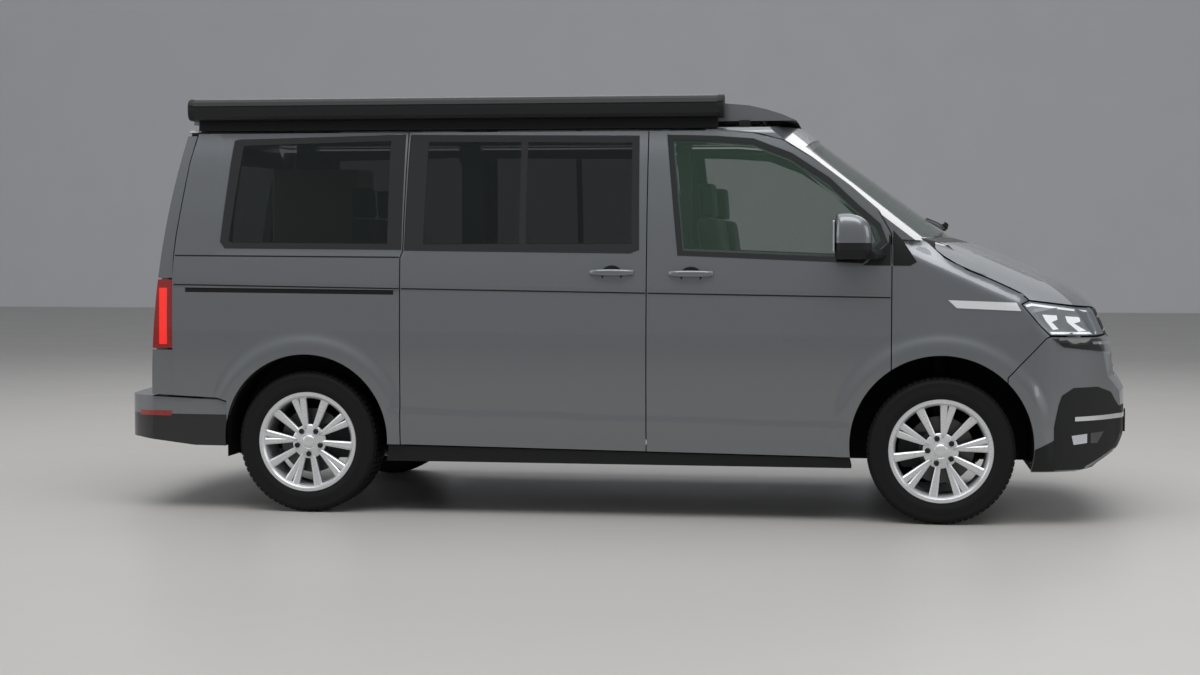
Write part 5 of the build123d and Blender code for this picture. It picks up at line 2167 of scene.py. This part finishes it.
def dress_nodes(nodes: dict[str, bpy.types.Object]) -> None:
    """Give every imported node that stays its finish.

    Args:
        nodes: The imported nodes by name.
    """
    for name, node in nodes.items():
        node.data.materials.clear()
        node.data.materials.append(NODE_FINISHES.get(name, PAINT).material())


@dataclass
class Studio:
    """Camera, light, floor and backdrop."""

    eye: tuple[float, float, float] = (1213.8, -9906.7, 1267.2)
    yaw: float = -0.1386
    pitch: float = -0.0457
    roll: float = 0.0012
    focal_px: float = 1934.8
    image_width_px: float = 1200.0
    sensor: float = 36.0
    floor_reach: float = 60000.0
    wall_y: float = 30000.0
    wall_height: float = 30000.0
    world_color: str = "c9cbce"
    world_strength: float = 0.62

    # Lamps: name, place, target, width and height in metres, and power in watts.
    LAMPS: ClassVar[tuple] = (
        ("overhead", (0, 0, 8.5), (0, 0, 0), (14, 9), 480),
        ("front_side", (0, -6.5, 10), (0, 0, 0.9), (14, 5), 760),
        ("nose_side", (10, -3, 4), (0, 0, 1), (6, 5), 160),
        ("tail_side", (-10, -3, 4), (0, 0, 1), (6, 5), 170),
        ("far_side", (0, 8.5, 7), (0, 0, 1), (12, 4), 260),
    )

    def camera(self) -> None:
        """Set the camera at the photograph's place."""
        data = bpy.data.cameras.new("camera")
        data.sensor_width = self.sensor
        data.lens = self.focal_px / self.image_width_px * self.sensor
        data.clip_end = 200
        made = bpy.data.objects.new("camera", data)
        bpy.context.scene.collection.objects.link(made)
        level = math.cos(self.pitch)
        ahead = Vector((math.sin(self.yaw) * level, math.cos(self.yaw) * level, math.sin(self.pitch)))
        right = Vector((math.cos(self.yaw), -math.sin(self.yaw), 0))
        up = right.cross(ahead)
        right_rolled = right * math.cos(self.roll) + up * math.sin(self.roll)
        up_rolled = up * math.cos(self.roll) - right * math.sin(self.roll)
        turn = Matrix((right_rolled, up_rolled, -ahead)).transposed().to_4x4()
        made.matrix_world = Matrix.Translation(Vector(self.eye) * MM) @ turn
        bpy.context.scene.camera = made

    def lamp(
        self, name: str, where: Sequence[float], target: Sequence[float], size: Point, power: float
    ) -> None:
        """Hang one soft area lamp.

        Args:
            name: Its name.
            where: Its place, in metres.
            target: What it points at, in metres.
            size: Its width and height, in metres.
            power: Its power in watts.
        """
        data = bpy.data.lights.new(name, "AREA")
        data.shape = "RECTANGLE"
        data.size, data.size_y = size
        data.energy = power
        made = bpy.data.objects.new(name, data)
        bpy.context.scene.collection.objects.link(made)
        aim = Vector(target) - Vector(where)
        made.matrix_world = Matrix.Translation(where) @ aim.to_track_quat("-Z", "Y").to_matrix().to_4x4()

    def build(self) -> None:
        """Set up camera, lamps, world, floor and backdrop."""
        self.camera()
        for lamp in self.LAMPS:
            self.lamp(*lamp)
        world = bpy.data.worlds.new("studio")
        bpy.context.scene.world = world
        world.use_nodes = True
        background = world.node_tree.nodes["Background"]
        background.inputs["Color"].default_value = linear(self.world_color)
        background.inputs["Strength"].default_value = self.world_strength
        bpy.context.scene.view_settings.view_transform = "Standard"
        ground = Finish("painted_floor", "b4b2af", "aeaca9", 0.4, 900.0, 0.02)
        back = Finish("painted_wall", "e4e5e8", "dfe0e3", 0.85, 900.0, 0.02)
        reach, depth, height = self.floor_reach, self.wall_y, self.wall_height
        near, foot = [(-reach, -reach, 0), (reach, -reach, 0)], [(reach, depth, 0), (-reach, depth, 0)]
        top = [(reach, depth, height), (-reach, depth, height)]
        floor = Shape()
        floor.add([*near, *foot], [(0, 1, 2, 3)])
        wall = Shape()
        wall.add([*reversed(foot), *top], [(0, 1, 2, 3)])
        for name, shape, finish in (("floor", floor, ground), ("backdrop", wall, back)):
            made = shape.object(name, outward=False)
            made.data.materials.append(finish.material())


def main() -> None:
    """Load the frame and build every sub-assembly."""
    logging.basicConfig(level=logging.INFO, format="%(message)s")
    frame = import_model()
    dress_nodes(frame["nodes"])
    FORM.load_surfaces(frame["nodes"])
    Studio().build()
    body_side = BodySide()
    body_side.build()
    Glazing(body_side).build()
    Handles().build()
    Mirrors().build()
    for wheel in (
        Wheel("front", FORM.front_axle, 81, 35), Wheel("rear", FORM.rear_axle, 103, -90),
    ):
        for side in Side:
            wheel.build(side)
    Awning().build()
    NoseTrim().build()
    TailTrim().build()
    Interior().build()
    RoofPieces().build()


if __name__ == "__main__":
    main()
